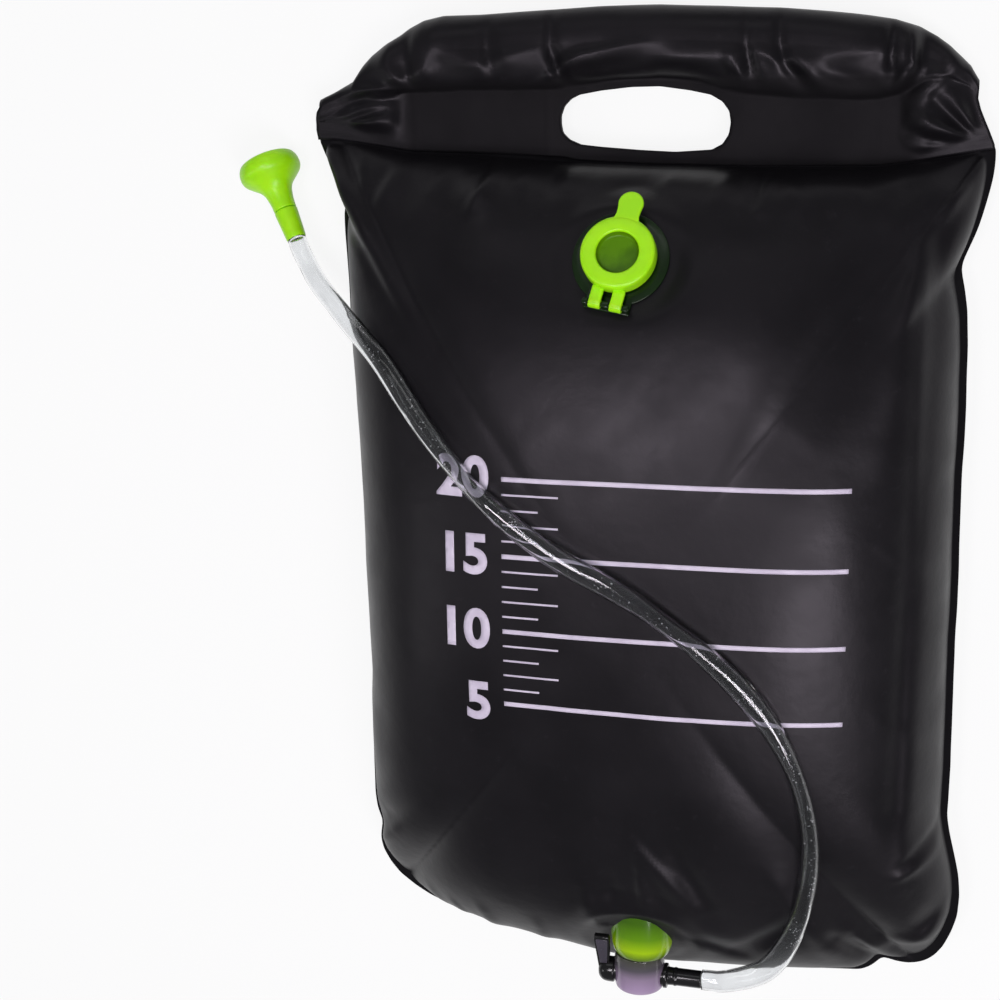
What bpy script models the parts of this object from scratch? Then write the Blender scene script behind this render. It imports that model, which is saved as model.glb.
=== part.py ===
"""A 20 litre camp shower bag lying filled on its back, with its filler, tap, hose and spray head.

The origin is on the flat patch that the bag rests on, halfway along the bag with its handle.
+Y runs along the bag to its handle, +X across it and +Z up through the filled bag.
"""

import math

import bmesh
import bpy
import numpy as np
from mathutils import Matrix, Vector

MM = 0.001

# Fits between the pieces
seat_gap = 0.3 * MM
cut_overrun = 4.0 * MM
round_steps = 28
small_round_steps = 16
merge_reach = 0.01 * MM

# Films of the bag
film = 0.8 * MM
tank_half_width = 188 * MM
tank_end_y = -302 * MM
tank_seam_y = 216 * MM
tank_weld_width = 10 * MM
tank_height = 112 * MM
rim_height = 30 * MM
rim_height_at_handle = 15 * MM
rim_fall_length = 120 * MM
corner_power = 6.0
corner_power_at_handle = 14.0
crown_power_across = 3.4
crown_power_along = 2.6
back_fullness = 1.9
tank_columns = 26
tank_rows = 32
back_columns = 16
back_rows = 18
edge_crowding_share = 0.65

# Handle: one sheet folded over the top edge of the tank
sleeve_half_width = 201 * MM
handle_height = 85 * MM
sleeve_top_y = tank_seam_y + handle_height
sleeve_overlap = 8 * MM
hem_depth = 39 * MM
hem_thickness = 27 * MM
weld_thickness = 3.4 * MM
island_half_width = 148 * MM
ear_thickness = 24 * MM
ear_end_share = 0.4
puff_rise = 16 * MM
ear_set_back = 64 * MM
ear_width = 66 * MM
ear_rounding = 1.4
sleeve_columns = 22
sleeve_rows = 8
sleeve_fold_rows = 5
slot_width = 104 * MM
slot_height = 36 * MM
slot_lift = 22 * MM
slot_centre_y = tank_seam_y + slot_lift
slot_corner = 14 * MM
slot_weld_width = 3 * MM

# Filler: a welded flange with a neck, and a cap hinged on its bar
filler_x = -6 * MM
filler_set_back = 56 * MM
filler_y = tank_seam_y - filler_set_back
filler_tilt = math.radians(25)
filler_turn = math.radians(-11)
filler_flat_radius = 39 * MM
filler_blend_radius = 47 * MM
filler_flange_radius = 28 * MM
filler_flange_thickness = 1.8 * MM
filler_neck_radius = 17.5 * MM
filler_bore_radius = 13.5 * MM
filler_neck_height = 9 * MM
cap_radius = 21.5 * MM
cap_web = 2.4 * MM
cap_edge = 1.2 * MM
cap_skirt_lift = 2.0 * MM
cap_plug_depth = 4.0 * MM
cap_plug_wall = 1.4 * MM
cap_plug_taper = 0.8 * MM
cap_recess_radius = 12.0 * MM
cap_tab_reach = 36 * MM
cap_tab_width = 14.5 * MM
cap_tab_thickness = 2.2 * MM
hinge_reach = 29.5 * MM
hinge_height = 3.4 * MM
hinge_bar_radius = 1.2 * MM
hinge_eye_wall = 1.4 * MM
hinge_leg_width = 7 * MM
hinge_leg_spacing = 12.5 * MM
hinge_lug_width = 3.6 * MM
hinge_pad_thickness = 1.8 * MM
seal_wire_radius = 0.6 * MM

# Outlet: a welded oblique spout with a tap
outlet_x = 6 * MM
outlet_set_back = 31 * MM
outlet_y = tank_end_y + outlet_set_back
outlet_film_tilt = math.radians(55)
outlet_flat_radius = 38 * MM
outlet_blend_radius = 64 * MM
spout_radius = 17.5 * MM
spout_bore_radius = 13 * MM
spout_reach = 15 * MM
spout_depth = 17 * MM
spout_flange_radius = 21 * MM
spout_flange_thickness = 1.8 * MM
spout_mouth_round = 2.0 * MM
housing_radius = 15.5 * MM
housing_length = 18 * MM
housing_plug_length = 12 * MM
housing_bore_radius = 5.5 * MM
housing_wall = 2.5 * MM
cross_bore_radius = 7 * MM
cross_bore_inset = 10 * MM
key_knob_radius = 8 * MM
key_knob_length = 10.5 * MM
key_plug_length = 17 * MM
key_seal_inset = 3.6 * MM
key_port_radius = 4 * MM
lever_length = 28 * MM
lever_tip_width = 9 * MM
lever_root_width = 6.4 * MM
lever_set_back = 6.4 * MM
lever_thickness = 4 * MM
lever_rise = math.radians(24)
spigot_radius = 5.5 * MM
spigot_bore_radius = 3.9 * MM
spigot_reach = 21.5 * MM
spigot_collar_radius = 7.8 * MM
spigot_collar_length = 2.4 * MM
spigot_tail_length = 12.5 * MM

# Hose: its route in millimetres, between the spigot and the head's collar
hose_radius = 6 * MM
hose_lead = 10 * MM
hose_point_count = 40
hose_samples = 24
hose_route = (
    (85, -279, 75), (102, -248, 85.5), (111, -210, 93.5), (112, -172, 102), (104, -133, 111),
    (84, -94, 117), (48, -57, 120.3), (6, -28, 121), (-40, -4, 120.3), (-82, 27, 116.5),
    (-118, 64, 106), (-150, 100, 87), (-181, 122, 62), (-205, 141, 43),
)

# Spray head: a collar on the hose and a head that slides out of it to open
head_joint = Vector((-222 * MM, 166 * MM, 31 * MM))
head_heading = math.radians(116)
head_dip = math.radians(13)
collar_radius = 7.2 * MM
collar_length = 19 * MM
collar_bore_radius = 6.2 * MM
collar_floor = 3 * MM
stem_radius = 3.2 * MM
stem_bore_radius = 2 * MM
stem_tip_radius = 4.3 * MM
stem_tip_length = 3 * MM
head_travel = 7 * MM
neck_radius = 5.9 * MM
neck_bore_radius = 4.7 * MM
neck_start = 8 * MM
neck_waist = 25 * MM
head_radius = 19.5 * MM
head_length = 54 * MM
head_wall = 1.8 * MM
rim_round = 6 * MM
flare_end_drop = 4 * MM
flare_radius_power = 2.2
flare_level_power = 0.8
flare_shares = [i / 6 for i in range(7)]
stem_tip_low = neck_start + head_wall + head_travel + 2 * (seat_gap + seal_wire_radius)
stem_length = stem_tip_low + stem_tip_length
rose_radius = 16.2 * MM
rose_thickness = 1.8 * MM
rose_crown = 1.6 * MM
pin_overlap = 5 * MM
rose_hole_radius = 0.75 * MM
rose_ring_shares = (0.3, 0.6, 0.86)
rose_ring_counts = (4, 7, 10)


def clear_scene():
    for old in list(bpy.data.objects):
        bpy.data.objects.remove(old)


def new_collection(name):
    made = bpy.data.collections.new(name)
    bpy.context.scene.collection.children.link(made)
    return made


def material(name, colour, roughness, metallic=0.0):
    made = bpy.data.materials.new(name)
    made.use_nodes = True
    shader = made.node_tree.nodes["Principled BSDF"]
    shader.inputs["Base Color"].default_value = (*colour, 1)
    shader.inputs["Roughness"].default_value = roughness
    shader.inputs["Metallic"].default_value = metallic
    made.diffuse_color = (*colour, 1)
    return made


def add(name, mesh, finish=None, parent=None, cutter=False):
    made = bpy.data.objects.new(name, mesh)
    (cutters if cutter else parts).objects.link(made)
    if finish:
        mesh.materials.append(finish)
    if cutter:
        made.hide_render = True
        made.display_type = "WIRE"
    made.parent = parent
    return made


def frame(name, place, turn):
    """An empty that carries a group of pieces in its own axes."""
    made = bpy.data.objects.new(name, None)
    parts.objects.link(made)
    made.matrix_world = Matrix.Translation(place) @ turn
    return made


def turned(name, outline, finish=None, parent=None, steps=round_steps, cutter=False):
    """A turned solid. An outline that starts on the axis ends on it, and any other one is closed."""
    made = bmesh.new()
    points = [made.verts.new((r, 0, z)) for r, z in outline]
    pairs = list(zip(points, points[1:]))
    if outline[0][0] > 0:
        pairs.append((points[-1], points[0]))
    for pair in pairs:
        made.edges.new(pair)
    mesh = bpy.data.meshes.new(name)
    made.to_mesh(mesh)
    made.free()
    body = add(name, mesh, finish, parent, cutter)
    screw = body.modifiers.new("turn", "SCREW")
    screw.steps = steps
    screw.render_steps = steps
    screw.use_merge_vertices = True
    screw.merge_threshold = merge_reach
    screw.use_smooth_shade = True
    return body


def rod(radius, low, high):
    """The outline of a plain cylinder from low to high on its axis."""
    return [(0, high), (radius, high), (radius, low), (0, low)]


def arc(radius, height, round_radius, start, end, count=3):
    """Points of a quarter round about (radius, height), between two angles from the radial direction."""
    angles = [start + (end - start) * i / count for i in range(count + 1)]
    return [(radius + round_radius * math.cos(a), height + round_radius * math.sin(a)) for a in angles]


def box(name, low, high, finish=None, parent=None, cutter=False):
    made = bmesh.new()
    bmesh.ops.create_cube(made, size=1)
    size = [b - a for a, b in zip(low, high)]
    middle = [(a + b) / 2 for a, b in zip(low, high)]
    bmesh.ops.scale(made, vec=size, verts=made.verts)
    bmesh.ops.translate(made, vec=middle, verts=made.verts)
    mesh = bpy.data.meshes.new(name)
    made.to_mesh(mesh)
    made.free()
    return add(name, mesh, finish, parent, cutter)


def combine(body, other, operation):
    step = body.modifiers.new(operation.lower(), "BOOLEAN")
    step.operation = operation
    step.object = other
    step.solver = "EXACT"


def along_x(body):
    """Lays a turned shape's axis on +X."""
    body.rotation_euler = (0, math.pi / 2, 0)
    return body


def plate_outline(name, points, thickness, finish=None, parent=None, cutter=False):
    """A flat outline, given as points in its plane, made a solid of this thickness about the plane."""
    curve = bpy.data.curves.new(name, "CURVE")
    curve.dimensions = "2D"
    curve.fill_mode = "BOTH"
    curve.extrude = thickness / 2
    spline = curve.splines.new("POLY")
    spline.points.add(len(points) - 1)
    for point, (x, y) in zip(spline.points, points):
        point.co = (x, y, 0, 1)
    spline.use_cyclic_u = True
    return as_mesh(name, curve, finish, parent, cutter)


def as_mesh(name, curve, finish, parent, cutter):
    """The curve's solid as a mesh object with its caps welded."""
    source = bpy.data.objects.new(name + "_curve", curve)
    parts.objects.link(source)
    bpy.context.view_layer.update()
    mesh = bpy.data.meshes.new_from_object(source.evaluated_get(bpy.context.evaluated_depsgraph_get()))
    bpy.data.objects.remove(source)
    welding = bmesh.new()
    welding.from_mesh(mesh)
    bmesh.ops.remove_doubles(welding, verts=welding.verts, dist=merge_reach)
    bmesh.ops.recalc_face_normals(welding, faces=welding.faces)
    welding.to_mesh(mesh)
    welding.free()
    mesh.materials.clear()
    mesh.name = name
    return add(name, mesh, finish, parent, cutter)


def rounded_rectangle(width, height, corner, count=7):
    points = []
    for quarter, (sx, sy) in enumerate(((1, 1), (-1, 1), (-1, -1), (1, -1))):
        for i in range(count + 1):
            angle = math.pi / 2 * (quarter + i / count)
            x = sx * (width / 2 - corner) + corner * math.cos(angle)
            y = sy * (height / 2 - corner) + corner * math.sin(angle)
            points.append((x, y))
    return points


def ease(low, high, value):
    """0 below low, 1 above high and a smooth step between."""
    share = np.clip((value - low) / (high - low), 0, 1)
    return share * share * (3 - 2 * share)


def tank_plan(s, t):
    """Plan position of the tank's point (s, t), each from -1 to 1: a square drawn in to a rounded outline."""
    longest = np.maximum(np.maximum(abs(s), abs(t)), 1e-9)
    power = np.where(t > 0, corner_power_at_handle, corner_power)
    spread = abs(s / longest) ** power + abs(t / longest) ** power
    rounding = np.maximum(spread, 1) ** (-1 / power)
    middle = (tank_seam_y + tank_end_y) / 2
    half_length = (tank_seam_y - tank_end_y) / 2
    return tank_half_width * s * rounding, middle + half_length * t * rounding


def rim_level(y):
    """Height of the weld between the two films, which sinks towards the handle."""
    weld_y = tank_seam_y - tank_weld_width
    fall = ease(weld_y - rim_fall_length, weld_y, y)
    return rim_height + (rim_height_at_handle - rim_height) * fall


def weld_edges():
    """Where the weld's inner edge lies, as shares of the half width and the half length."""
    return 1 - tank_weld_width / tank_half_width, 1 - 2 * tank_weld_width / (tank_seam_y - tank_end_y)


def fullness(s, t):
    """0 on the weld, 1 in the middle of the tank."""
    edge_s, edge_t = weld_edges()
    across = np.clip(abs(s) / edge_s, 0, 1)
    along = np.clip(abs(t) / edge_t, 0, 1)
    return np.sqrt((1 - across**crown_power_across) * (1 - along**crown_power_along))


def crown(s, t):
    """Height of the front film's outer face before its fittings flatten it."""
    x, y = tank_plan(s, t)
    low = rim_level(y)
    return low + film + seat_gap + (tank_height - low) * fullness(s, t)


def crown_at(x, y):
    """The front film's height at a plan position, by a few steps towards its (s, t)."""
    middle = (tank_seam_y + tank_end_y) / 2
    half_length = (tank_seam_y - tank_end_y) / 2
    s, t = x / tank_half_width, (y - middle) / half_length
    for _ in range(20):
        at_x, at_y = tank_plan(s, t)
        s, t = s + (x - at_x) / tank_half_width, t + (y - at_y) / half_length
    return float(crown(np.float64(s), np.float64(t)))


def seat(z, x, y, centre, tilt, flat_radius, blend_radius):
    """Heights flattened to a tilted plane round a fitting, which leans by tilt towards +Y."""
    plane = centre[2] - math.tan(tilt) * (y - centre[1])
    distance = np.hypot(x - centre[0], (y - centre[1]) / math.cos(tilt))
    share = ease(flat_radius, blend_radius, distance)
    return plane * (1 - share) + z * share


def tank_grid(columns, rows):
    """Shares (s, t) that crowd towards the weld's inner edge, where the film curves most, and the weld's own."""
    lines = []
    for edge, count in zip(weld_edges(), (columns, rows)):
        even = np.linspace(-1, 1, count - 1)
        inner = (1 - edge_crowding_share) * even + edge_crowding_share * np.sin(even * math.pi / 2)
        lines.append(np.concatenate([[-1], edge * inner, [1]]))
    return np.meshgrid(*lines)


def film_sheet(name, x, y, z, finish, outward):
    """A film through a grid of points, given its thickness towards the inside."""
    made = bmesh.new()
    rows, columns = x.shape
    bmesh.ops.create_grid(made, x_segments=columns - 1, y_segments=rows - 1, size=1)
    made.verts.ensure_lookup_table()
    order = sorted(made.verts, key=lambda v: (round(v.co.y, 6), round(v.co.x, 6)))
    for vert, place in zip(order, zip(x.ravel(), y.ravel(), z.ravel())):
        vert.co = place
    if not outward:
        bmesh.ops.reverse_faces(made, faces=made.faces)
    mesh = bpy.data.meshes.new(name)
    made.to_mesh(mesh)
    made.free()
    mesh.shade_smooth()
    sheet = add(name, mesh, finish)
    wall = sheet.modifiers.new("wall", "SOLIDIFY")
    wall.thickness = film
    wall.offset = -1
    wall.use_even_offset = True
    return sheet


def front_panel():
    """The front film: a filled crown, flattened under the filler and the outlet, and bored for both."""
    s, t = tank_grid(tank_columns, tank_rows)
    x, y = tank_plan(s, t)
    z = crown(s, t)
    z = seat(z, x, y, filler_centre, filler_tilt, filler_flat_radius, filler_blend_radius)
    z = seat(z, x, y, outlet_centre, -outlet_film_tilt, outlet_flat_radius, outlet_blend_radius)
    low = rim_level(y) + film + seat_gap
    z = np.where(fullness(s, t) > 0, np.maximum(z, low), low)
    sheet = film_sheet("bag_front_panel", x, y, z, film_finish, True)
    hole = turned("filler_hole", rod(filler_bore_radius, -6 * film, 6 * film), None, filler_frame, cutter=True)
    combine(sheet, hole, "DIFFERENCE")
    passage = rod(spout_radius + seat_gap, -2 * spout_radius, spout_reach + cut_overrun)
    combine(sheet, turned("spout_hole", passage, None, outlet_frame, cutter=True), "DIFFERENCE")


def back_panel():
    """The back film: it hangs from the weld to a flat patch on the ground."""
    s, t = tank_grid(back_columns, back_rows)
    x, y = tank_plan(s, t)
    low = rim_level(y) - film
    z = low * (1 - np.clip(back_fullness * fullness(s, t), 0, 1))
    film_sheet("bag_back_panel", x, y, z, film_finish, False)


def sleeve_half_gap(x, y, top):
    """Half the thickness of the handle's folded sheet at a plan position, below its top edge there."""
    hem = ease(-hem_depth - puff_rise / 2, -hem_depth + puff_rise / 2, y - top)
    ear = ease(island_half_width - puff_rise / 2, island_half_width + puff_rise, abs(x))
    low_edge = tank_seam_y - sleeve_overlap
    ear = ear * ease(low_edge, low_edge + puff_rise, y)
    puff = np.maximum(hem * hem_thickness, ear * ear_thickness)
    end = ease(-sleeve_half_width, -sleeve_half_width + 2 * puff_rise, -abs(x))
    return np.maximum(weld_thickness, puff * (ear_end_share + (1 - ear_end_share) * end)) / 2 + film


def handle_sleeve():
    """The handle: a sheet folded round the tank's top edge, puffed along its fold, with a hand slot."""
    across = np.linspace(-1, 1, sleeve_columns + 1)
    leaf = np.linspace(0, 1, sleeve_rows + 1)
    low_edge = tank_seam_y - sleeve_overlap
    x_places = sleeve_half_width * across
    end = np.clip((abs(x_places) - sleeve_half_width) / ear_width + 1, 0, 1)
    top = sleeve_top_y - ear_set_back * end**ear_rounding
    bottom_rows, middle_rows, top_rows = [], [], []
    fold_rows = np.linspace(-1, 1, sleeve_fold_rows + 2)[1:-1]
    for share in leaf:
        y = low_edge + (top - hem_thickness / 2 - low_edge) * share
        half = sleeve_half_gap(x_places, y, top)
        bottom_rows.append((y, -half))
        top_rows.insert(0, (y, half))
    fold_y = top - hem_thickness / 2
    half = sleeve_half_gap(x_places, fold_y, top)
    for step in fold_rows:
        angle = step * math.pi / 2
        middle_rows.append((fold_y + hem_thickness / 2 * math.cos(angle), half * math.sin(angle)))
    rows = bottom_rows + middle_rows + top_rows
    y = np.array([row[0] for row in rows])
    z = np.array([row[1] for row in rows])
    x = np.broadcast_to(x_places, y.shape)
    level = rim_height_at_handle + seat_gap / 2
    sheet = film_sheet("handle_sleeve", x, y, level + z, film_finish, False)
    grown = 2 * slot_weld_width
    outer = rounded_rectangle(slot_width + grown, slot_height + grown, slot_corner + slot_weld_width)
    weld = plate_outline("slot_weld", outer, weld_thickness + film, cutter=True)
    inner = rounded_rectangle(slot_width, slot_height, slot_corner)
    slot = plate_outline("hand_slot", inner, 4 * hem_thickness, cutter=True)
    for cutter, operation in ((weld, "UNION"), (slot, "DIFFERENCE")):
        cutter.location = (0, slot_centre_y, level)
        combine(sheet, cutter, operation)


def filler_neck():
    """The welded flange with its neck, and the hinge bar in its lugs."""
    low = seat_gap
    top = low + filler_flange_thickness
    neck_top = top + filler_neck_height
    outline = [
        (filler_neck_radius - cap_edge / 2, neck_top),
        (filler_neck_radius, neck_top - cap_edge / 2),
        (filler_neck_radius, top),
        (filler_flange_radius - cap_edge / 2, top),
        (filler_flange_radius, low + filler_flange_thickness / 2),
        (filler_flange_radius, low),
        (filler_bore_radius, low),
        (filler_bore_radius, neck_top),
    ]
    neck = turned("filler_neck", outline, green_clear, filler_frame)
    reach = hinge_reach + hinge_bar_radius + hinge_eye_wall
    half = hinge_leg_spacing / 2 + hinge_leg_width / 2 + seat_gap + hinge_lug_width
    root = -(filler_neck_radius + cap_skirt_lift)
    pad = box("hinge_pad", (-half, -reach, low), (half, root, low + hinge_pad_thickness), None, filler_frame, True)
    combine(neck, pad, "UNION")
    lug_x = hinge_leg_spacing / 2 + hinge_leg_width / 2 + seat_gap
    inner = hinge_leg_spacing / 2 - hinge_leg_width / 2 - seat_gap
    lug_half = hinge_bar_radius + hinge_eye_wall / 2
    bar_z = top + hinge_height
    for index, (left, right) in enumerate(((-lug_x - hinge_lug_width, -lug_x), (-inner, inner), (lug_x, half))):
        low_corner = (left, -hinge_reach - lug_half, low + hinge_pad_thickness / 2)
        high_corner = (right, -hinge_reach + lug_half, bar_z + lug_half)
        combine(neck, box(f"hinge_lug_{index}", low_corner, high_corner, None, filler_frame, True), "UNION")
    bar = turned("hinge_bar", rod(hinge_bar_radius, -half, half), None, filler_frame, small_round_steps, True)
    along_x(bar).location = (0, -hinge_reach, bar_z)
    combine(neck, bar, "UNION")


def filler_cap():
    """The cap: a ring with a recessed plug, a thumb tab, and two legs with eyes on the hinge bar."""
    top = seat_gap + filler_flange_thickness
    neck_top = top + filler_neck_height
    ceiling = neck_top + seat_gap
    crest = ceiling + cap_web
    floor = ceiling - cap_plug_depth
    bar_z = top + hinge_height
    plug = filler_bore_radius - seat_gap
    skirt_bore = filler_neck_radius + 2 * seat_gap
    outline = [(0, floor + cap_plug_wall), (cap_recess_radius - cap_edge, floor + cap_plug_wall)]
    outline += [(cap_recess_radius, crest - cap_edge / 2), (cap_recess_radius + cap_edge / 2, crest)]
    outline += arc(cap_radius - cap_edge, crest - cap_edge, cap_edge, math.pi / 2, 0)
    outline += [(cap_radius, top + cap_skirt_lift), (skirt_bore, top + cap_skirt_lift)]
    outline += [(skirt_bore, ceiling), (plug, ceiling), (plug - cap_plug_taper, floor), (0, floor)]
    cap = turned("filler_cap", outline, green_finish, cap_frame)
    cap.location = (0, hinge_reach, -bar_z)
    lift = crest - cap_tab_thickness / 2 - seat_gap
    tab_half = cap_tab_width / 2
    rounds = [i * math.pi / 12 for i in range(13)]
    shape = [(tab_half * math.cos(a), cap_tab_reach - tab_half + tab_half * math.sin(a)) for a in rounds]
    root = cap_radius - 3 * cap_edge
    shape += [(-tab_half, root), (tab_half, root)]
    tab = plate_outline("cap_tab", shape, cap_tab_thickness, None, cap_frame, True)
    tab.location = (0, hinge_reach, lift - bar_z)
    combine(cap, tab, "UNION")
    eye_radius = hinge_bar_radius + seat_gap + hinge_eye_wall
    for index, side in enumerate((-1, 1)):
        middle = side * hinge_leg_spacing / 2
        left, right = middle - hinge_leg_width / 2, middle + hinge_leg_width / 2
        leg = box(
            f"cap_leg_{index}",
            (left, -eye_radius / 2, seat_gap),
            (right, hinge_reach - cap_radius + cap_edge, eye_radius),
            None,
            cap_frame,
            True,
        )
        combine(cap, leg, "UNION")
        eye = turned(f"cap_eye_{index}", rod(eye_radius, left, right), None, cap_frame, small_round_steps, True)
        combine(cap, along_x(eye), "UNION")
    reach = hinge_leg_spacing + hinge_leg_width
    bore = rod(hinge_bar_radius + seat_gap, -reach, reach)
    combine(cap, along_x(turned("cap_eye_bore", bore, None, cap_frame, small_round_steps, True)), "DIFFERENCE")


def groove_in(radius, height):
    """Outline points, top to bottom, of a seal's groove cut in a shaft of this radius."""
    half = seal_wire_radius + seat_gap
    floor = radius - 2 * seal_wire_radius - seat_gap
    return [(radius, height + half), (floor, height + half), (floor, height - half), (radius, height - half)]


def seal(name, radius, height, parent, steps=small_round_steps):
    """The round-wire ring in the groove of a shaft of this radius."""
    middle = radius - seal_wire_radius - seat_gap / 2
    circle = arc(middle, height, seal_wire_radius, math.tau, math.tau / 8, 7)
    return turned(name, circle, seal_finish, parent, steps)


def outlet_spout():
    """The welded oblique spout: a flange under the film and a barrel that points along the bag."""
    outline = [(spout_bore_radius + seat_gap, spout_reach)]
    outline += arc(spout_radius - spout_mouth_round, spout_reach - spout_mouth_round, spout_mouth_round,
                   math.pi / 2, 0)
    outline += [(spout_radius, -spout_depth), (spout_bore_radius, -spout_depth)]
    outline += [(spout_bore_radius, spout_reach - seat_gap)]
    spout = turned("outlet_spout", outline, green_clear, outlet_frame)
    high = -film - seat_gap
    disc = turned("spout_flange", rod(spout_flange_radius, high - spout_flange_thickness, high),
                  None, outlet_seat_frame, cutter=True)
    combine(spout, disc, "UNION")
    bore = rod(spout_bore_radius, -spout_flange_radius, spout_flange_radius)
    combine(spout, turned("spout_bore", bore, None, outlet_frame, cutter=True), "DIFFERENCE")


def valve_housing():
    """The clear tap body: its tail plugs into the spout and a bore crosses it."""
    low = spout_reach + seat_gap
    end = low + housing_length
    tail = low - housing_plug_length
    fit = spout_bore_radius - seat_gap
    groove_z = (low + tail) / 2
    outline = [(0, end)]
    outline += arc(housing_radius - spout_mouth_round, end - spout_mouth_round, spout_mouth_round, math.pi / 2, 0)
    outline += [(housing_radius, low), (fit, low), *groove_in(fit, groove_z), (fit, tail)]
    outline += [(housing_bore_radius, tail)]
    outline += [(housing_bore_radius, end - housing_wall), (0, end - housing_wall)]
    housing = turned("valve_housing", outline, housing_finish, outlet_frame)
    across = rod(cross_bore_radius, -housing_radius - cut_overrun, housing_radius + cut_overrun)
    cut = along_x(turned("cross_bore", across, None, tap_frame, small_round_steps, True))
    combine(housing, cut, "DIFFERENCE")
    seal("spout_seal", fit, groove_z, outlet_frame, round_steps)


def tap_key():
    """The key: a ported plug across the housing, a domed knob at its end and a lever blade."""
    fit = cross_bore_radius - seat_gap
    start = -housing_radius - seat_gap
    dome = key_knob_length / 2
    groove_z = start + key_seal_inset
    outline = [(0, start + key_plug_length), (fit, start + key_plug_length), *groove_in(fit, groove_z)]
    outline += [(fit, start), (key_knob_radius, start)]
    outline += [(key_knob_radius, start - key_knob_length + dome)]
    angles = [i * math.pi / 2 / 5 for i in range(1, 5)]
    outline += [(key_knob_radius * math.cos(a), start - dome - dome * math.sin(a)) for a in angles]
    outline += [(0, start - key_knob_length)]
    key = turned("tap_key", outline, black_finish, tap_frame, small_round_steps)
    along_x(key)
    along_x(seal("key_seal", fit, groove_z, tap_frame))
    blade = [
        (lever_root_width / 2, 0),
        (lever_tip_width / 2, lever_length - lever_thickness / 2),
        (lever_tip_width / 2 - lever_thickness / 2, lever_length),
        (-lever_tip_width / 2 + lever_thickness / 2, lever_length),
        (-lever_tip_width / 2, lever_length - lever_thickness / 2),
        (-lever_root_width / 2, 0),
    ]
    lever = plate_outline("key_lever", blade, lever_thickness, None, tap_frame, True)
    lever.location = (start - lever_set_back, 0, 0)
    lever.rotation_euler = (lever_rise, 0, 0)
    combine(key, lever, "UNION")
    port = turned("key_port", rod(key_port_radius, 0, 2 * cross_bore_radius), None, tap_frame,
                  small_round_steps, True)
    port.rotation_euler = (-math.pi / 2, 0, 0)
    combine(key, port, "DIFFERENCE")
    mouth = rod(key_port_radius, 0, 2 * key_plug_length)
    combine(key, along_x(turned("key_mouth", mouth, None, tap_frame, small_round_steps, True)), "DIFFERENCE")


def hose_spigot():
    """The spigot: a tail in the housing's cross bore, a collar, and the pipe that the hose meets."""
    collar = housing_radius + seat_gap
    tail = collar - spigot_tail_length
    end = collar + spigot_reach + spigot_collar_length
    fit = cross_bore_radius - seat_gap
    groove_z = collar - key_seal_inset
    outline = [
        (spigot_radius - seat_gap, end),
        (spigot_radius, end - seat_gap),
        (spigot_radius, collar + spigot_collar_length),
        (spigot_collar_radius, collar + spigot_collar_length),
        (spigot_collar_radius, collar),
        (fit, collar),
        *groove_in(fit, groove_z),
        (fit, tail),
        (spigot_bore_radius, tail),
        (spigot_bore_radius, end),
    ]
    along_x(turned("hose_spigot", outline, black_finish, tap_frame, small_round_steps))
    along_x(seal("spigot_seal", fit, groove_z, tap_frame))


def head_collar():
    """The collar on the hose's end: a cup that the head's neck slides in."""
    outline = [(stem_radius + seat_gap, collar_floor), (collar_bore_radius, collar_floor)]
    outline += [(collar_bore_radius, collar_length), (collar_radius, collar_length)]
    outline += [(collar_radius, seat_gap * 2), (collar_radius - 2 * seat_gap, 0), (stem_radius + seat_gap, 0)]
    turned("head_collar", outline, green_finish, head_frame, small_round_steps)


def valve_stem():
    """The hollow stem in the collar, whose thicker tip stops the sliding head."""
    outline = [
        (stem_tip_radius, stem_length),
        (stem_tip_radius, stem_tip_low),
        (stem_radius, stem_tip_low),
        (stem_radius, 0),
        (stem_bore_radius, 0),
        (stem_bore_radius, stem_length),
    ]
    turned("valve_stem", outline, black_finish, head_frame, small_round_steps)
    around = stem_radius + 2 * seal_wire_radius + seat_gap
    seal("stem_seal", around, stem_tip_low - seal_wire_radius - seat_gap, head_frame)


def head_shell():
    """The sliding head: a neck in the collar that flares into a thick mushroom, open at the front."""
    front = head_length - rim_round
    flare_growth = head_radius - rim_round / 2 - neck_radius
    flare_length = front - flare_end_drop - neck_waist
    flare = [neck_radius + flare_growth * share**flare_radius_power for share in flare_shares]
    levels = [neck_waist + flare_length * share**flare_level_power for share in flare_shares]
    outer = [(neck_radius, neck_start)] + list(zip(flare, levels))
    outer += [
        (head_radius - rim_round + rim_round * math.cos(a), front + rim_round * math.sin(a)) for a in
        [i * math.pi / 9 - math.pi / 6 for i in range(7)]
    ]
    lip = head_length - rose_crown
    inner = [(rose_radius + seat_gap, outer[-1][1]), (rose_radius + seat_gap, lip - 2 * rose_thickness)]
    inner += [(rose_radius - head_wall, lip - 2 * rose_thickness)]
    inner += [(max(r - head_wall, neck_bore_radius), z + head_wall) for r, z in
              reversed(list(zip(flare, levels))) if z + head_wall < lip - 3 * rose_thickness]
    seat_z = neck_start + head_wall
    inner += [(neck_bore_radius, seat_z), (stem_radius + seat_gap, seat_z), (stem_radius + seat_gap, neck_start)]
    outline = outer + inner
    turned("head_shell", outline[::-1], green_finish, head_frame)


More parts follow.
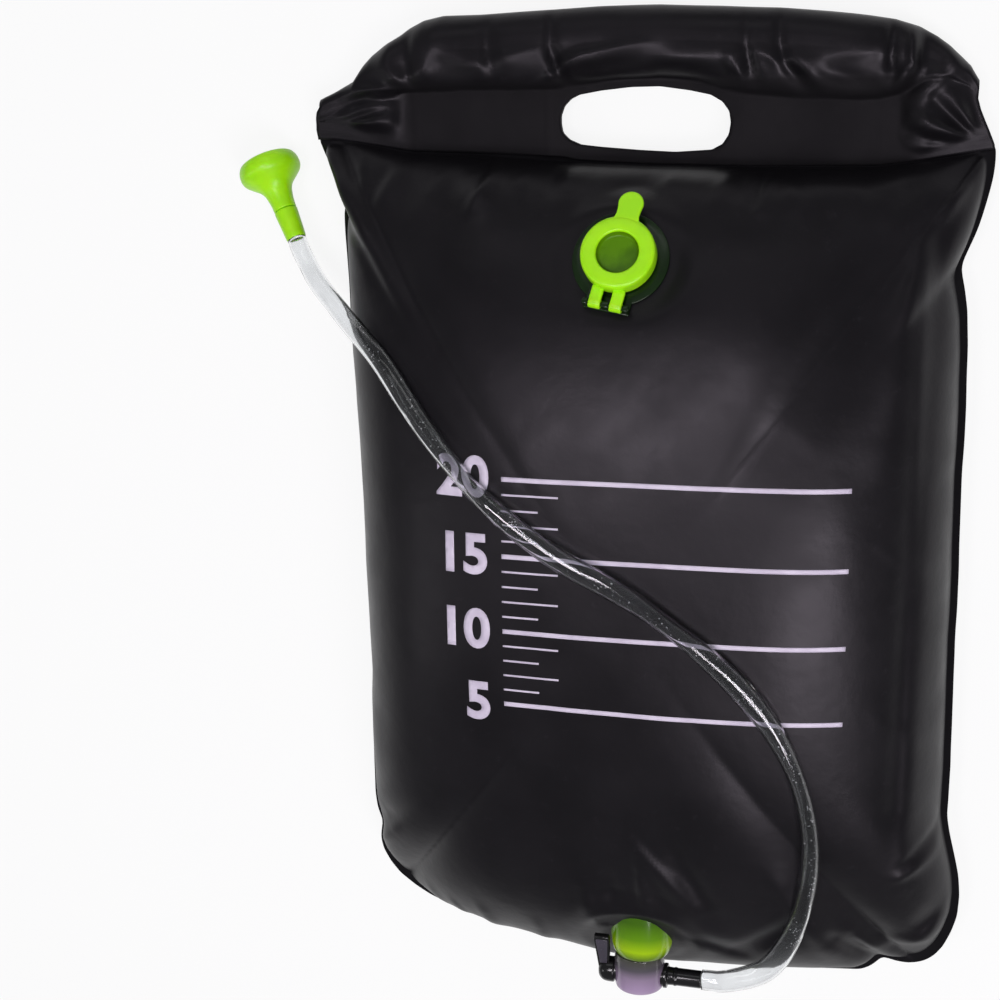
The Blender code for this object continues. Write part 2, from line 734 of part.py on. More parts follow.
def rose_plate():
    """The perforated face of the head, slightly crowned, with the pin that closes the stem's bore."""
    low = head_length - rose_crown - 2 * rose_thickness + seat_gap
    crest = low + rose_thickness
    shares = [i / 3 for i in range(4)]
    outline = [(rose_radius * s, crest + rose_crown * (1 - s * s)) for s in shares]
    pin = stem_bore_radius - seat_gap
    outline += [(rose_radius, low), (pin, low), (pin, stem_length - pin_overlap), (0, stem_length - pin_overlap)]
    plate = turned("rose_plate", outline, green_finish, head_frame)
    holes = bmesh.new()
    for share, count in zip(rose_ring_shares, rose_ring_counts):
        for i in range(count):
            angle = math.tau * i / count
            place = (rose_radius * share * math.cos(angle), rose_radius * share * math.sin(angle), crest)
            bmesh.ops.create_cone(holes, cap_ends=True, segments=6, radius1=rose_hole_radius,
                                  radius2=rose_hole_radius, depth=6 * rose_thickness,
                                  matrix=Matrix.Translation(place))
    mesh = bpy.data.meshes.new("rose_holes")
    holes.to_mesh(mesh)
    holes.free()
    combine(plate, add("rose_holes", mesh, None, head_frame, True), "DIFFERENCE")


def shower_hose():
    """The free hose: a plain tube over the bag's face, from the spigot to the collar on its head."""
    start = [tap_frame.matrix_world @ Vector((spigot_end + seat_gap + run, 0, 0)) for run in (0, hose_lead)]
    end = [head_frame.matrix_world @ Vector((0, 0, -seat_gap - run)) for run in (hose_lead, 0)]
    route = start + [Vector(point) * MM for point in hose_route] + end
    curve = bpy.data.curves.new("shower_hose", "CURVE")
    curve.dimensions = "3D"
    curve.bevel_depth = hose_radius
    curve.bevel_resolution = 3
    curve.use_fill_caps = True
    points = [start[0], *smooth_path(route, hose_point_count), end[1]]
    spline = curve.splines.new("POLY")
    spline.points.add(len(points) - 1)
    for point, place in zip(spline.points, points):
        point.co = (*place, 1)
    as_mesh("shower_hose", curve, hose_finish, None, False)


def smooth_path(route, count):
    """Even steps along a smooth curve through the route, from its second point to its last but one."""
    knots = np.array([tuple(point) for point in route])
    fine = []
    for p0, p1, p2, p3 in zip(knots, knots[1:], knots[2:], knots[3:]):
        gaps = [np.linalg.norm(b - a) ** 0.5 for a, b in ((p0, p1), (p1, p2), (p2, p3))]
        t1, t2, t3 = np.cumsum(gaps)
        for t in np.linspace(t1, t2, hose_samples, endpoint=False):
            a1 = (t1 - t) / t1 * p0 + t / t1 * p1
            a2 = (t2 - t) / (t2 - t1) * p1 + (t - t1) / (t2 - t1) * p2
            a3 = (t3 - t) / (t3 - t2) * p2 + (t - t2) / (t3 - t2) * p3
            b1 = (t2 - t) / t2 * a1 + t / t2 * a2
            b2 = (t3 - t) / (t3 - t1) * a2 + (t - t1) / (t3 - t1) * a3
            fine.append((t2 - t) / (t2 - t1) * b1 + (t - t1) / (t2 - t1) * b2)
    fine = np.array(fine + [knots[-2]])
    along = np.concatenate([[0], np.cumsum(np.linalg.norm(np.diff(fine, axis=0), axis=1))])
    even = np.linspace(0, along[-1], count)
    return np.stack([np.interp(even, along, fine[:, axis]) for axis in range(3)], 1)


clear_scene()
parts = new_collection("camp_shower_bag")
cutters = new_collection("cutters")
film_finish = material("black_film", (0.012, 0.011, 0.013), 0.38)
green_finish = material("green_plastic", (0.23, 0.68, 0.01), 0.3)
green_clear = material("green_translucent", (0.12, 0.36, 0.02), 0.3)
black_finish = material("black_plastic", (0.01, 0.01, 0.01), 0.25)
housing_finish = material("smoky_clear", (0.55, 0.5, 0.6), 0.2)
seal_finish = material("seal_rubber", (0.03, 0.03, 0.03), 0.6)
hose_finish = material("clear_hose", (0.75, 0.78, 0.8), 0.15)

filler_centre = Vector((filler_x, filler_y, crown_at(filler_x, filler_y)))
filler_lean = Matrix.Rotation(-filler_tilt, 4, "X") @ Matrix.Rotation(filler_turn, 4, "Z")
filler_frame = frame("filler_frame", filler_centre, filler_lean)
bar_height = seat_gap + filler_flange_thickness + hinge_height
cap_frame = frame("cap_frame", filler_frame.matrix_world @ Vector((0, -hinge_reach, bar_height)), filler_lean)

outlet_centre = Vector((outlet_x, outlet_y, crown_at(outlet_x, outlet_y)))
outlet_seat_frame = frame("outlet_seat_frame", outlet_centre, Matrix.Rotation(outlet_film_tilt, 4, "X"))
outlet_frame = frame("outlet_frame", outlet_centre, Matrix.Rotation(math.pi / 2, 4, "X"))
tap_y = outlet_y - spout_reach - seat_gap - housing_length + cross_bore_inset
tap_frame = frame("tap_frame", (outlet_x, tap_y, outlet_centre.z), Matrix.Identity(4))
spigot_end = housing_radius + seat_gap + spigot_reach + spigot_collar_length

head_way = Vector((math.cos(head_heading) * math.cos(head_dip), math.sin(head_heading) * math.cos(head_dip),
                   -math.sin(head_dip)))
head_frame = frame("head_frame", head_joint, head_way.to_track_quat("Z", "Y").to_matrix().to_4x4())
bpy.context.view_layer.update()

front_panel()
back_panel()
handle_sleeve()
filler_neck()
filler_cap()
outlet_spout()
valve_housing()
tap_key()
hose_spigot()
head_collar()
valve_stem()
head_shell()
rose_plate()
shower_hose()
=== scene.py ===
import math

import bmesh
import bpy
import numpy as np
from mathutils import Matrix, Vector
from numpy.linalg import norm


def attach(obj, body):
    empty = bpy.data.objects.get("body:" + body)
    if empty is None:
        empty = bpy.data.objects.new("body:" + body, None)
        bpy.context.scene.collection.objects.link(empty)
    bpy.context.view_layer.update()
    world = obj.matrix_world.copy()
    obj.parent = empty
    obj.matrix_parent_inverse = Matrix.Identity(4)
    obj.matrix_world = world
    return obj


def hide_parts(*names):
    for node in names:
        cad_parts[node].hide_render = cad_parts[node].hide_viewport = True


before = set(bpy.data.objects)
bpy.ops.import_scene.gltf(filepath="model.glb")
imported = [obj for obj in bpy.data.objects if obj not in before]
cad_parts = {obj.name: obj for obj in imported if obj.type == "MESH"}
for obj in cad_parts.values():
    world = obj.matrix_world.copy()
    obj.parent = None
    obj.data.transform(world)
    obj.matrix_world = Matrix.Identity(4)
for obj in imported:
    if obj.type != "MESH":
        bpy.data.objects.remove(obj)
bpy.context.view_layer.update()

MM = 0.001
same_point = 0.002 * MM
sharp_edge = math.radians(40)


# Mesh helpers

def quads(rows, columns, closed=False):
    """Faces of a grid of points kept row after row. A closed grid joins its last column to its first."""
    r, c = np.meshgrid(np.arange(rows - 1), np.arange(columns if closed else columns - 1), indexing="ij")
    across = (c + 1) % columns
    faces = [r * columns + c, r * columns + across, (r + 1) * columns + across, (r + 1) * columns + c]
    return np.stack(faces, -1).reshape(-1, 4)


def in_scene(name, data):
    """An object of some data, at the origin and linked to the scene."""
    made = bpy.data.objects.new(name, data)
    bpy.context.scene.collection.objects.link(made)
    return made


def surface(name, points, faces, finish, body, closed=True, sharp=False):
    """A smooth mesh piece through points in metres, with doubled points welded, that rides on a body.

    A closed piece has its faces turned outwards. sharp keeps its edges over 40 degrees hard.
    """
    mesh = bpy.data.meshes.new(name)
    faces = faces if isinstance(faces, list) else faces.tolist()
    mesh.from_pydata(points.reshape(-1, 3).tolist(), [], faces)
    shell = bmesh.new()
    shell.from_mesh(mesh)
    bmesh.ops.remove_doubles(shell, verts=shell.verts, dist=same_point)
    if closed:
        bmesh.ops.recalc_face_normals(shell, faces=shell.faces)
    shell.to_mesh(mesh)
    shell.free()
    mesh.shade_smooth()
    if sharp:
        mesh.set_sharp_from_angle(angle=sharp_edge)
    mesh.materials.append(finish)
    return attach(in_scene(name, mesh), body)


def walled(sheet, thickness):
    """A sheet thickened by millimetres on the side away from its normals."""
    wall = sheet.modifiers.new("wall", "SOLIDIFY")
    wall.thickness, wall.offset = thickness * MM, -1


def bridge(first, second):
    """Faces between two rows of point numbers."""
    return np.stack([first[:-1], first[1:], second[1:], second[:-1]], -1)


def together(*shells):
    """Several (points, faces) shells as one, faces as lists because their sizes differ."""
    points, faces, count = [], [], 0
    for shell_points, shell_faces in shells:
        flat = np.asarray(shell_points, float).reshape(-1, 3)
        points.append(flat)
        faces += (np.asarray(shell_faces) + count).tolist()
        count += len(flat)
    return np.concatenate(points), faces


def joined(name, shells, finish, body):
    """Several shells as one closed piece with hard edges."""
    return surface(name, *together(*shells), finish, body, sharp=True)


def placed(points, origin, x_way, z_way):
    """Points in millimetres carried from a local frame to metres: the origin + x X + y Y + z Z."""
    x_axis = np.array(x_way, float) / norm(x_way)
    z_axis = np.array(z_way, float) / norm(z_way)
    y_axis = np.cross(z_axis, x_axis)
    flat = np.asarray(points, float).reshape(-1, 3)
    return (np.array(origin) + flat[:, :1] * x_axis + flat[:, 1:2] * y_axis + flat[:, 2:] * z_axis) * MM


def carried(shell, axes, shift=(0, 0, 0)):
    """A shell in millimetres, shifted in its own frame and carried to metres in the row frame."""
    points, faces = shell
    return placed(points + shift, *axes), faces


def rounded(corners, steps):
    """A polyline of (radius, height, fillet) corners with each fillet drawn as a short quadratic curve."""
    corners = np.array(corners, float)
    line = [corners[0, :2]]
    share = np.linspace(0, 1, steps)[:, None]
    for before, here, after in zip(corners, corners[1:], corners[2:]):
        back, on = before[:2] - here[:2], after[:2] - here[:2]
        reach_back = min(here[2], 0.48 * norm(back))
        reach_on = min(here[2], 0.48 * norm(on))
        start = here[:2] + back / max(norm(back), 1e-9) * reach_back
        end = here[:2] + on / max(norm(on), 1e-9) * reach_on
        line += list((1 - share) ** 2 * start + 2 * share * (1 - share) * here[:2] + share**2 * end)
    line.append(corners[-1, :2])
    return np.array(line)


def lathe(profile, steps):
    """A profile of (radius, height) carried round the local Z axis: x = r cos a, y = r sin a, z = h."""
    profile = np.asarray(profile, float)
    angle = np.linspace(0, math.tau, steps, endpoint=False)
    r, h = profile[:, :1], profile[:, 1:]
    points = np.stack([r * np.cos(angle), r * np.sin(angle), np.broadcast_to(h, (len(profile), steps))], -1)
    return points.reshape(-1, 3), quads(len(profile), steps, True)


def turned(corners, fillet=5, steps=112):
    """A turned piece: the lathe of a rounded polyline of (radius, height, fillet) corners."""
    return lathe(rounded(corners, fillet), steps)


def plate(shape, thickness, edge):
    """A flat shape as a solid with rounded edges: rings drawn in by the edge round, then a fan of rings.

    Each ring is the shape scaled about its middle, at a height on a quarter circle.
    """
    shape = np.asarray(shape, float)
    middle = shape.mean(0)
    reach = norm(shape - middle, axis=1)[:, None]

    def ring(flat, level):
        return np.column_stack([flat, np.full(len(flat), level)])

    rings = [ring(middle + (shape - middle) * (1 - edge * (1 - math.cos(a)) / reach),
                  thickness / 2 - edge + edge * math.sin(a)) for a in np.linspace(0, math.pi / 2, 4)]
    inner = rings[-1][:, :2]
    rings += [ring(middle + (inner - middle) * f, thickness / 2) for f in np.linspace(1, 0, 6)[1:]]
    low = [points * (1, 1, -1) for points in rings[::-1]]
    return np.concatenate(low + rings), quads(2 * len(rings), len(shape), True)


def bar(start, end, radius, steps=24, round_end=0.4):
    """A round bar between two points, its ends rounded by a share of its radius."""
    start, end = np.array(start, float), np.array(end, float)
    length = norm(end - start)
    soft = radius * round_end
    points, faces = turned([(0, 0, 0), (radius, 0, soft), (radius, length, soft), (0, length, 0)], 5, steps)
    way = (end - start) / length
    side = np.cross(way, (0.3, 0.5, 0.81))
    return placed(points, start, side, way) / MM, faces


def block(low, high, soft):
    """A box with softened edges: a cube's grid of points pushed onto a rounded box."""
    line = np.array([-1, -0.9, -0.6, 0, 0.6, 0.9, 1])
    a, b = np.meshgrid(line, line, indexing="ij")
    one = np.ones_like(a)
    sides = [(a, b, one), (b, a, -one), (one, a, b), (-one, b, a), (b, one, a), (a, -one, b)]
    low, high = np.array(low, float), np.array(high, float)
    half = (high - low) / 2
    shells = []
    for side in sides:
        cube = np.stack(side, -1).reshape(-1, 3) * half
        core = np.clip(cube, -(half - soft), half - soft)
        away = cube - core
        length = np.maximum(norm(away, axis=1, keepdims=True), 1e-9)
        shells.append((core + away / length * np.minimum(length, soft) + (low + high) / 2, quads(*a.shape)))
    return together(*shells)


def ease(low, high, value):
    """0 below low, 1 above high and 3 u^2 - 2 u^3 between, where u is the share of the way."""
    share = np.clip((value - low) / (high - low), 0, 1)
    return share * share * (3 - 2 * share)


def noise(x, y, seed, octaves=3):
    """Smooth noise about zero: sums of sines of turned coordinates, each octave finer and lower."""
    rng = np.random.default_rng(seed)
    total = np.zeros(np.broadcast(x, y).shape)
    for octave in range(octaves):
        for _ in range(5):
            turn, phase = rng.uniform(0, math.tau, 2)
            pitch = 2.0**octave * rng.uniform(0.75, 1.3)
            wave = np.sin(pitch * (x * math.cos(turn) + y * math.sin(turn)) + phase)
            total = total + wave / 2**octave / 5
    return total


def by_angle(ring, steps, middle, unit=(1, 1)):
    """A closed ring cut into even steps, in the order of its angle about the middle, and that angle."""
    share = np.linspace(0, 1, steps, endpoint=False)[None, :, None]
    fine = (ring[:, None] * (1 - share) + np.roll(ring, -1, 0)[:, None] * share).reshape(-1, 2)
    across, along = ((fine - middle) / unit).T
    angle = np.arctan2(along, across)
    order = np.argsort(angle)
    return angle[order], fine[order]


def ridges(x, y, table):
    """Sum of soft folds: each runs between two plan points, a Gaussian across its width.

    A row is x0, y0, x1, y1, width at the start, width at the end, height, lean. The lean makes one
    side steeper: the width on the left of the line grows by it and that on the right shrinks.
    """
    total = np.zeros(np.broadcast(x, y).shape)
    for x0, y0, x1, y1, wide_0, wide_1, height, lean in table:
        run = math.hypot(x1 - x0, y1 - y0)
        along = ((x - x0) * (x1 - x0) + (y - y0) * (y1 - y0)) / run**2
        off = ((y - y0) * (x1 - x0) - (x - x0) * (y1 - y0)) / run
        on = np.clip(along, 0, 1)
        width = (wide_0 + (wide_1 - wide_0) * on) * np.where(off > 0, 1 + lean, 1 - lean)
        past = (along - on) * run / (0.8 * (wide_0 + wide_1))
        swell = 0.55 + 0.45 * np.sin(math.pi * np.clip(on, 0.05, 0.95))
        total = total + height * swell * np.exp(-((off / width) ** 2) - past**2)
    return total


# The film's shape in millimetres: the CAD's crown over the photograph's outline, with folds on top

film = 0.8
half_width, end_y, seam_y, weld = 188.0, -302.0, 216.0, 10.0
middle_y, half_length = (seam_y + end_y) / 2, (seam_y - end_y) / 2
height, rim, rim_at_handle, rim_fall = 112.0, 30.0, 15.0, 120.0
flat_rim, film_gap, pucker_y, pucker_wide = 4.0, 0.3, 200.0, 13.0
edge_s, edge_t = 1 - flat_rim / half_width, 1 - flat_rim / half_length
filler_at, filler_tilt = (-6.0, 160.0, 80.125), math.radians(25)
outlet_at, outlet_tilt = (6.0, -271.0, 68.203), math.radians(-39)
filler_seat, outlet_seat, filler_hole = (30, 44), (24, 60), 19
outlet_ripples = ((1.5, 25, 3), (1.6, 38, 4))

# The tank's outline as it lies in the photograph, plan points from the right ear clockwise
outline = np.array([
    (196, 222), (196.8, 212), (195.8, 201), (193.5, 190), (188.9, 173.5), (184.5, 162), (181, 155),
    (181.6, 148), (184, 139), (186, 128), (187, 110), (187.3, 75), (188, 28), (188.9, -21), (189.3, -72),
    (190.2, -123), (190.6, -150), (190.4, -169), (190.2, -183), (192.8, -196), (196, -209), (199, -222),
    (200.6, -236), (200, -250), (197, -261), (192.5, -271.5), (187, -279), (181, -283.5), (172.9, -286),
    (163.6, -285.5), (155.5, -283.5), (153, -287), (148.4, -291.7), (142.3, -294.8), (129.7, -296.2),
    (117, -297.5), (90, -299.3), (60, -300.8), (30, -301.6), (0, -301.8), (-27, -300.5), (-41, -298.6),
    (-55, -296.7), (-69, -294.7), (-82, -292.8), (-96.5, -291), (-110, -288), (-124, -284.3), (-134, -281.5),
    (-145, -277), (-156, -271), (-166, -263.5), (-173, -255), (-178, -246), (-179.6, -237), (-177.4, -226),
    (-181, -215.5), (-182.3, -204.5), (-182.4, -183), (-182, -154), (-181.4, -111), (-182, -69.5),
    (-182.6, -28.6), (-183.3, 12), (-184.5, 51), (-186.2, 83), (-188, 110), (-190.6, 141), (-193.6, 168),
    (-194.4, 182), (-192.4, 190), (-193.8, 195), (-197, 201), (-202, 207.3), (-205.8, 213.5), (-208.6, 220),
    (-210, 226), (-210, 231), (-190, 229), (-150, 222), (-110, 221), (-60, 217), (0, 214), (60, 213),
    (133, 213), (160, 216), (185, 219.5),
])

front_folds = [
    (157, 158, 148, 60, 5, 20, 4.2, 0.25), (150, 152, 96, 62, 7, 26, -4.5, -0.2),
    (168, 172, 160, -160, 6, 7, -2.6, 0), (163, 150, 166, -210, 5, 8, 2.2, 0.3),
    (196, 216, 148, 180, 5, 11, 4.5, -0.2), (196, 214, 163, 158, 4, 9, -3.5, 0.2),
    (192, 204, 170, 186, 4, 8, 3.8, 0.3), (186, 214, 118, 198, 3, 9, 2.2, 0.1),
    (75, 214, 69, 188, 2.2, 4, 3.2, 0.45), (66, 210, 60, 190, 2.5, 4, 2.2, -0.4),
    (49, 210, 45, 196, 3, 6, 2, 0.3), (17, 209, 15, 196, 3, 6, 1.8, 0.2), (82, 208, 90, 190, 4, 8, 2, -0.3),
    (-44, 211, -46, 194, 4, 7, 2.6, 0.1), (-87, 214, -97, 190, 3, 6, 3.4, 0.35),
    (-70, 210, -72, 196, 4, 6, 1.8, -0.2), (-118, 210, -128, 190, 5, 9, 2.2, 0.2),
    (118, 208, 124, 190, 5, 9, 1.6, -0.2), (-150, 212, -163, 180, 5, 10, 2.4, 0.3),
    (-176, 208, -168, 176, 4, 9, 2.6, -0.3), (10, -208, 13, -240, 4, 7, 3.2, 0.35),
    (-24, -226, -22, -262, 5, 6, 2.6, -0.3), (-8, -220, -6, -244, 5, 7, -2.4, 0),
    (14, -196, 42, -232, 5, 9, 3, -0.3), (34, -196, 52, -238, 6, 10, -3, 0.1),
    (36, -260, 70, -272, 4, 7, -3.2, 0.2), (66, -271, 104, -240, 7, 8, -3, -0.2),
    (96, -214, 122, -262, 8, 9, 2.6, 0.3), (128, -256, 152, -282, 4, 5, -3.6, 0.3),
    (138, -250, 160, -276, 5, 6, 3, -0.3), (168, -196, 190, -178, 4, 5, -3.6, -0.3),
    (166, -204, 190, -190, 5, 6, 3, 0.3), (164, -262, 194, -256, 6, 9, 3.2, 0.2),
    (176, -252, 190, -230, 6, 8, -2.6, 0.2), (-138, -266, -130, -284, 4, 6, 2.6, 0.3),
    (-119, -270, -112, -288, 4, 6, 2.2, -0.3), (-98, -268, -92, -288, 5, 7, 2.4, 0.2),
    (-60, -272, -58, -292, 5, 7, 2, -0.2), (-178, -236, -160, -214, 5, 8, 2.8, 0.3),
    (-180, -216, -164, -204, 4, 7, -2.6, 0.2), (-184, 186, -168, 150, 5, 10, 2.6, -0.2),
    (150, -2, 166, -14, 4, 6, 1.2, 0.2), (152, -104, 168, -116, 4, 6, 1.2, -0.2),
    (-110, 120, -60, 60, 24, 34, 1.6, 0.1), (60, 150, 110, 40, 26, 30, 1.8, -0.1),
    (30, -120, 78, -196, 22, 28, 2, 0.1), (-60, -150, -20, -214, 24, 26, -1.8, 0.1),
]


def rounded_square(s, t):
    """Each square of s and t drawn in to a superellipse, |s|^p + |t|^p = size^p with p = 14 or 6."""
    longest = np.maximum(np.maximum(abs(s), abs(t)), 1e-9)
    power = np.where(t > 0, 14.0, 6.0)
    spread = abs(s / longest) ** power + abs(t / longest) ** power
    draw = np.maximum(spread, 1) ** (-1 / power)
    return half_width * s * draw, half_length * t * draw, longest


def reach_table():
    """The outline's radius as a share of the superellipse's, every half degree round the tank."""
    angle = np.radians(np.arange(-180, 180.5, 0.5))
    side = np.stack([np.cos(angle), np.sin(angle)]) / np.maximum(abs(np.cos(angle)), abs(np.sin(angle)))
    x, y, _ = rounded_square(*side)
    base_angle = np.unwrap(np.arctan2(y, x))
    base = np.interp(angle, base_angle, np.hypot(x, y))
    ring_angle, fine = by_angle(outline, 12, (0, middle_y))
    seen = np.interp(angle, ring_angle, np.hypot(*(fine - (0, middle_y)).T), period=math.tau)
    seen = np.convolve(np.pad(seen, 1, "wrap"), (0.25, 0.5, 0.25), "valid")
    return angle, seen / base


outline_angle, outline_reach = reach_table()


def plan(s, t):
    """Plan position of (s, t), each from -1 to 1: the superellipse stretched to the outline near the rim."""
    x, y, longest = rounded_square(s, t)
    reach = np.interp(np.arctan2(y, x), outline_angle, outline_reach)
    scale = 1 + (reach - 1) * ease(0.6, 1, longest)
    x, y = x * scale, y * scale + middle_y
    ripple = ease(0.85, 1, longest) * np.where(t > 0.9, 0.1, 0.5)
    return x + ripple * noise(y / 16, x / 60, 3), y + ripple * noise(x / 18, y / 60, 4)


def rim_at(y):
    """Height of the weld between the films, which falls towards the handle."""
    fall = ease(seam_y - weld - rim_fall, seam_y - weld, y)
    return rim + (rim_at_handle - rim) * fall


def fullness(s, t):
    """0 on the weld, 1 in the middle of the tank: the root of (1 - |s|^3.4) (1 - |t|^2.6)."""
    across, along = np.clip(abs(s) / edge_s, 0, 1), np.clip(abs(t) / edge_t, 0, 1)
    return np.sqrt((1 - across**3.4) * (1 - along**2.6))


def seat_distance(x, y, at, tilt):
    """Distance from a fitting's middle along its own tilted plane."""
    return np.hypot(x - at[0], (y - at[1]) / math.cos(tilt))


def seat(z, x, y, at, tilt, reach):
    """Height z drawn onto a tilted plane round a fitting: flat to the first reach, free past the second."""
    plane = at[2] - math.tan(tilt) * (y - at[1])
    share = ease(*reach, seat_distance(x, y, at, tilt))
    return plane * (1 - share) + z * share


def front_level(s, t):
    """Plan and height of the front film: the CAD's crown, its folds, and flat seats round the two fittings.

    z = low + (height - low) fullness + folds, noise and a band of puckers at the handle's seam. Two
    ripples run round the outlet, each a bell curve of (height, distance, width).
    """
    x, y = plan(s, t)
    low, full = rim_at(y), fullness(s, t)
    lowest = low + film + film_gap
    uneven = 0.8 * noise(x / 46, y / 46, 7) + 0.25 * noise(x / 13, y / 13, 8, 2)
    band = np.exp(-(((y - pucker_y) / pucker_wide) ** 2))
    pucker = band * (3 * noise(x / 8, y / 40, 9) + 3.4 * noise(x / 19, y / 60, 10))
    folds = ridges(x, y, front_folds) + uneven + pucker
    z = lowest + (height - low) * full + ease(0.02, 0.3, full) * folds
    z = seat(z, x, y, filler_at, filler_tilt, filler_seat)
    z = seat(z, x, y, outlet_at, outlet_tilt, outlet_seat)
    away = seat_distance(x, y, outlet_at, outlet_tilt)
    for swell, at, wide in outlet_ripples:
        z = z + full * swell * np.exp(-(((away - at) / wide) ** 2))
    return x, y, np.where(full > 0, np.maximum(z, lowest), lowest)


def shares_at(x, y):
    """(s, t) of plan points, by steps that carry the miss back."""
    s, t = x / half_width, (y - middle_y) / half_length
    for _ in range(12):
        at_x, at_y = plan(s, t)
        s, t = s + (x - at_x) / half_width, t + (y - at_y) / half_length
    return s, t


def crowded(count, edge):
    """Shares from -1 to 1 that crowd towards the weld's inner edge."""
    even = np.linspace(-1, 1, count - 2)
    inner = 0.6 * even + 0.4 * np.sin(even * math.pi / 2)
    return np.concatenate([[-1], edge * inner, [1]])


# Finishes

class Value:
    """A socket of a material's nodes. An expression on it adds Math nodes."""

    def __init__(self, finish, socket):
        self.finish, self.socket = finish, socket

    def math(self, operation, *others):
        return self.finish.node("Math", dict(enumerate((self, *others))), operation=operation)

    def __add__(self, other):
        return self.math("ADD", other)

    def __mul__(self, other):
        return self.math("MULTIPLY", other)

    def __sub__(self, other):
        return self.math("SUBTRACT", other)

    def __rsub__(self, other):
        return self.finish.node("Math", {0: other, 1: self}, operation="SUBTRACT")

    __radd__, __rmul__ = __add__, __mul__

    def between(self, low, high):
        return self.finish.node("MapRange", {"Value": self, "From Min": low, "From Max": high},
                                interpolation_type="SMOOTHSTEP")


class Nodes:
    """The nodes of a material or a world. node adds one, first its settings, then its values or links."""

    def __init__(self, owner):
        owner.use_nodes = True
        self.tree = owner.node_tree

    def feed(self, socket, value):
        if isinstance(value, Value):
            self.tree.links.new(value.socket, socket)
        else:
            socket.default_value = value

    def node(self, kind, sockets, output=0, **settings):
        made = self.tree.nodes.new("ShaderNode" + kind)
        for key, value in settings.items():
            if key == "stops":
                ramp = made.color_ramp.elements
                while len(ramp) < len(value):
                    ramp.new(0.5)
                for stop, (position, colour) in zip(ramp, value):
                    stop.position, stop.color = position, colour
            else:
                setattr(made, key, value)
        for key, value in sockets.items():
            self.feed(made.inputs[key], value)
        return Value(self, made.outputs[output])

    def ends_in(self, name, value):
        self.feed(self.tree.nodes[name].inputs["Surface"], value)


class Finish(Nodes):
    """A material being made round its one shader."""

    def __init__(self, name, **constants):
        self.material = bpy.data.materials.new(name)
        super().__init__(self.material)
        self.shader = self.tree.nodes["Principled BSDF"]
        self.shows(**constants)

    def place(self):
        """The piece's own coordinates, in metres."""
        return self.node("TexCoord", {}, 3)

    def axis(self, index):
        return self.node("SeparateXYZ", {"Vector": self.place()}, index)

    def grain(self, scale, detail=3, rough=0.55):
        sockets = {"Vector": self.place(), "Scale": scale, "Detail": detail, "Roughness": rough}
        return self.node("TexNoise", sockets)

    def blend(self, factor, low, high):
        return self.node("Mix", {0: factor, 6: low, 7: high}, 2, data_type="RGBA")

    def bump(self, level, distance, strength, below=None):
        sockets = {"Height": level, "Distance": distance, "Strength": strength}
        if below:
            sockets["Normal"] = below
        return self.node("Bump", sockets)

    def shows(self, **sockets):
        for key, value in sockets.items():
            self.feed(self.shader.inputs[key.replace("_", " ")], value)
        return self.material

    def scuffed(self, shade, gloss):
        """Shows a colour with fine scuffs in its gloss and a slight ripple."""
        scuff = self.grain(700, 4, 0.7).between(0.6, 0.75)
        ripple = self.bump(self.grain(240, 2), 0.00012, 0.3)
        return self.shows(Base_Color=shade, Roughness=gloss + scuff * 0.08, Normal=ripple)


def vinyl(name, gloss, welded_and_shaded=False):
    """Black vinyl film: fine calendered grain, cloudy gloss, a little pale dust, dull where it is welded,
    with painted shade darkening the welded flat zone.
    """
    made = Finish(name, Specular_IOR_Level=0.21, Specular_Tint=(0.98, 0.92, 1, 1))
    cloud = made.grain(22)
    dust = made.grain(160, 4, 0.7).between(0.58, 0.8)
    colour = made.blend(cloud, (0.0045, 0.0042, 0.005, 1), (0.0075, 0.0068, 0.0083, 1))
    colour = made.blend(dust * 0.1, colour, (0.06, 0.055, 0.065, 1))
    rough = gloss + cloud.between(0.3, 0.7) * 0.1 + dust * 0.06
    if welded_and_shaded:
        # The welded flat zone of the handle: rougher, and darkened in its colour as painted shade.
        weld_dull_and_shade = made.axis(0).math("ABSOLUTE").between(0.16, 0.146) * made.axis(1).between(0.262, 0.257)
        rough = rough + weld_dull_and_shade * 0.34
        colour = made.blend(weld_dull_and_shade * 0.6, colour, (0.0025, 0.0024, 0.0027, 1))
    fine = made.bump(made.grain(2600, 2), 0.00004, 0.5)
    soft = made.bump(made.grain(90), 0.0006, 0.35, fine)
    return made.shows(Base_Color=colour, Roughness=rough, Normal=soft)


def moulded(name, colour, dark, gloss, see=0.0, ior=1.46, **constants):
    """Injection-moulded plastic: slight flow lines, uneven gloss and fine scuffs."""
    made = Finish(name, IOR=ior, Transmission_Weight=see, **constants)
    flow = made.grain(60)
    shade = made.blend(flow.between(0.35, 0.65), (*dark, 1), (*colour, 1))
    return made.scuffed(shade, gloss + flow * 0.06)


def painted_light_ramp(name, ends, stops, gloss, see):
    """Clear moulding with a colour ramp along the outlet, from the first y at its root to the second, that
    paints highlights and reflections onto it.
    """
    made = Finish(name, IOR=1.46, Transmission_Weight=see)
    share = (made.axis(1) - ends[0]) * (1 / (ends[1] - ends[0]))
    shade = made.node("ValToRGB", {"Fac": share}, stops=[(at, (*colour, 1)) for at, colour in stops])
    return made.scuffed(shade, gloss)


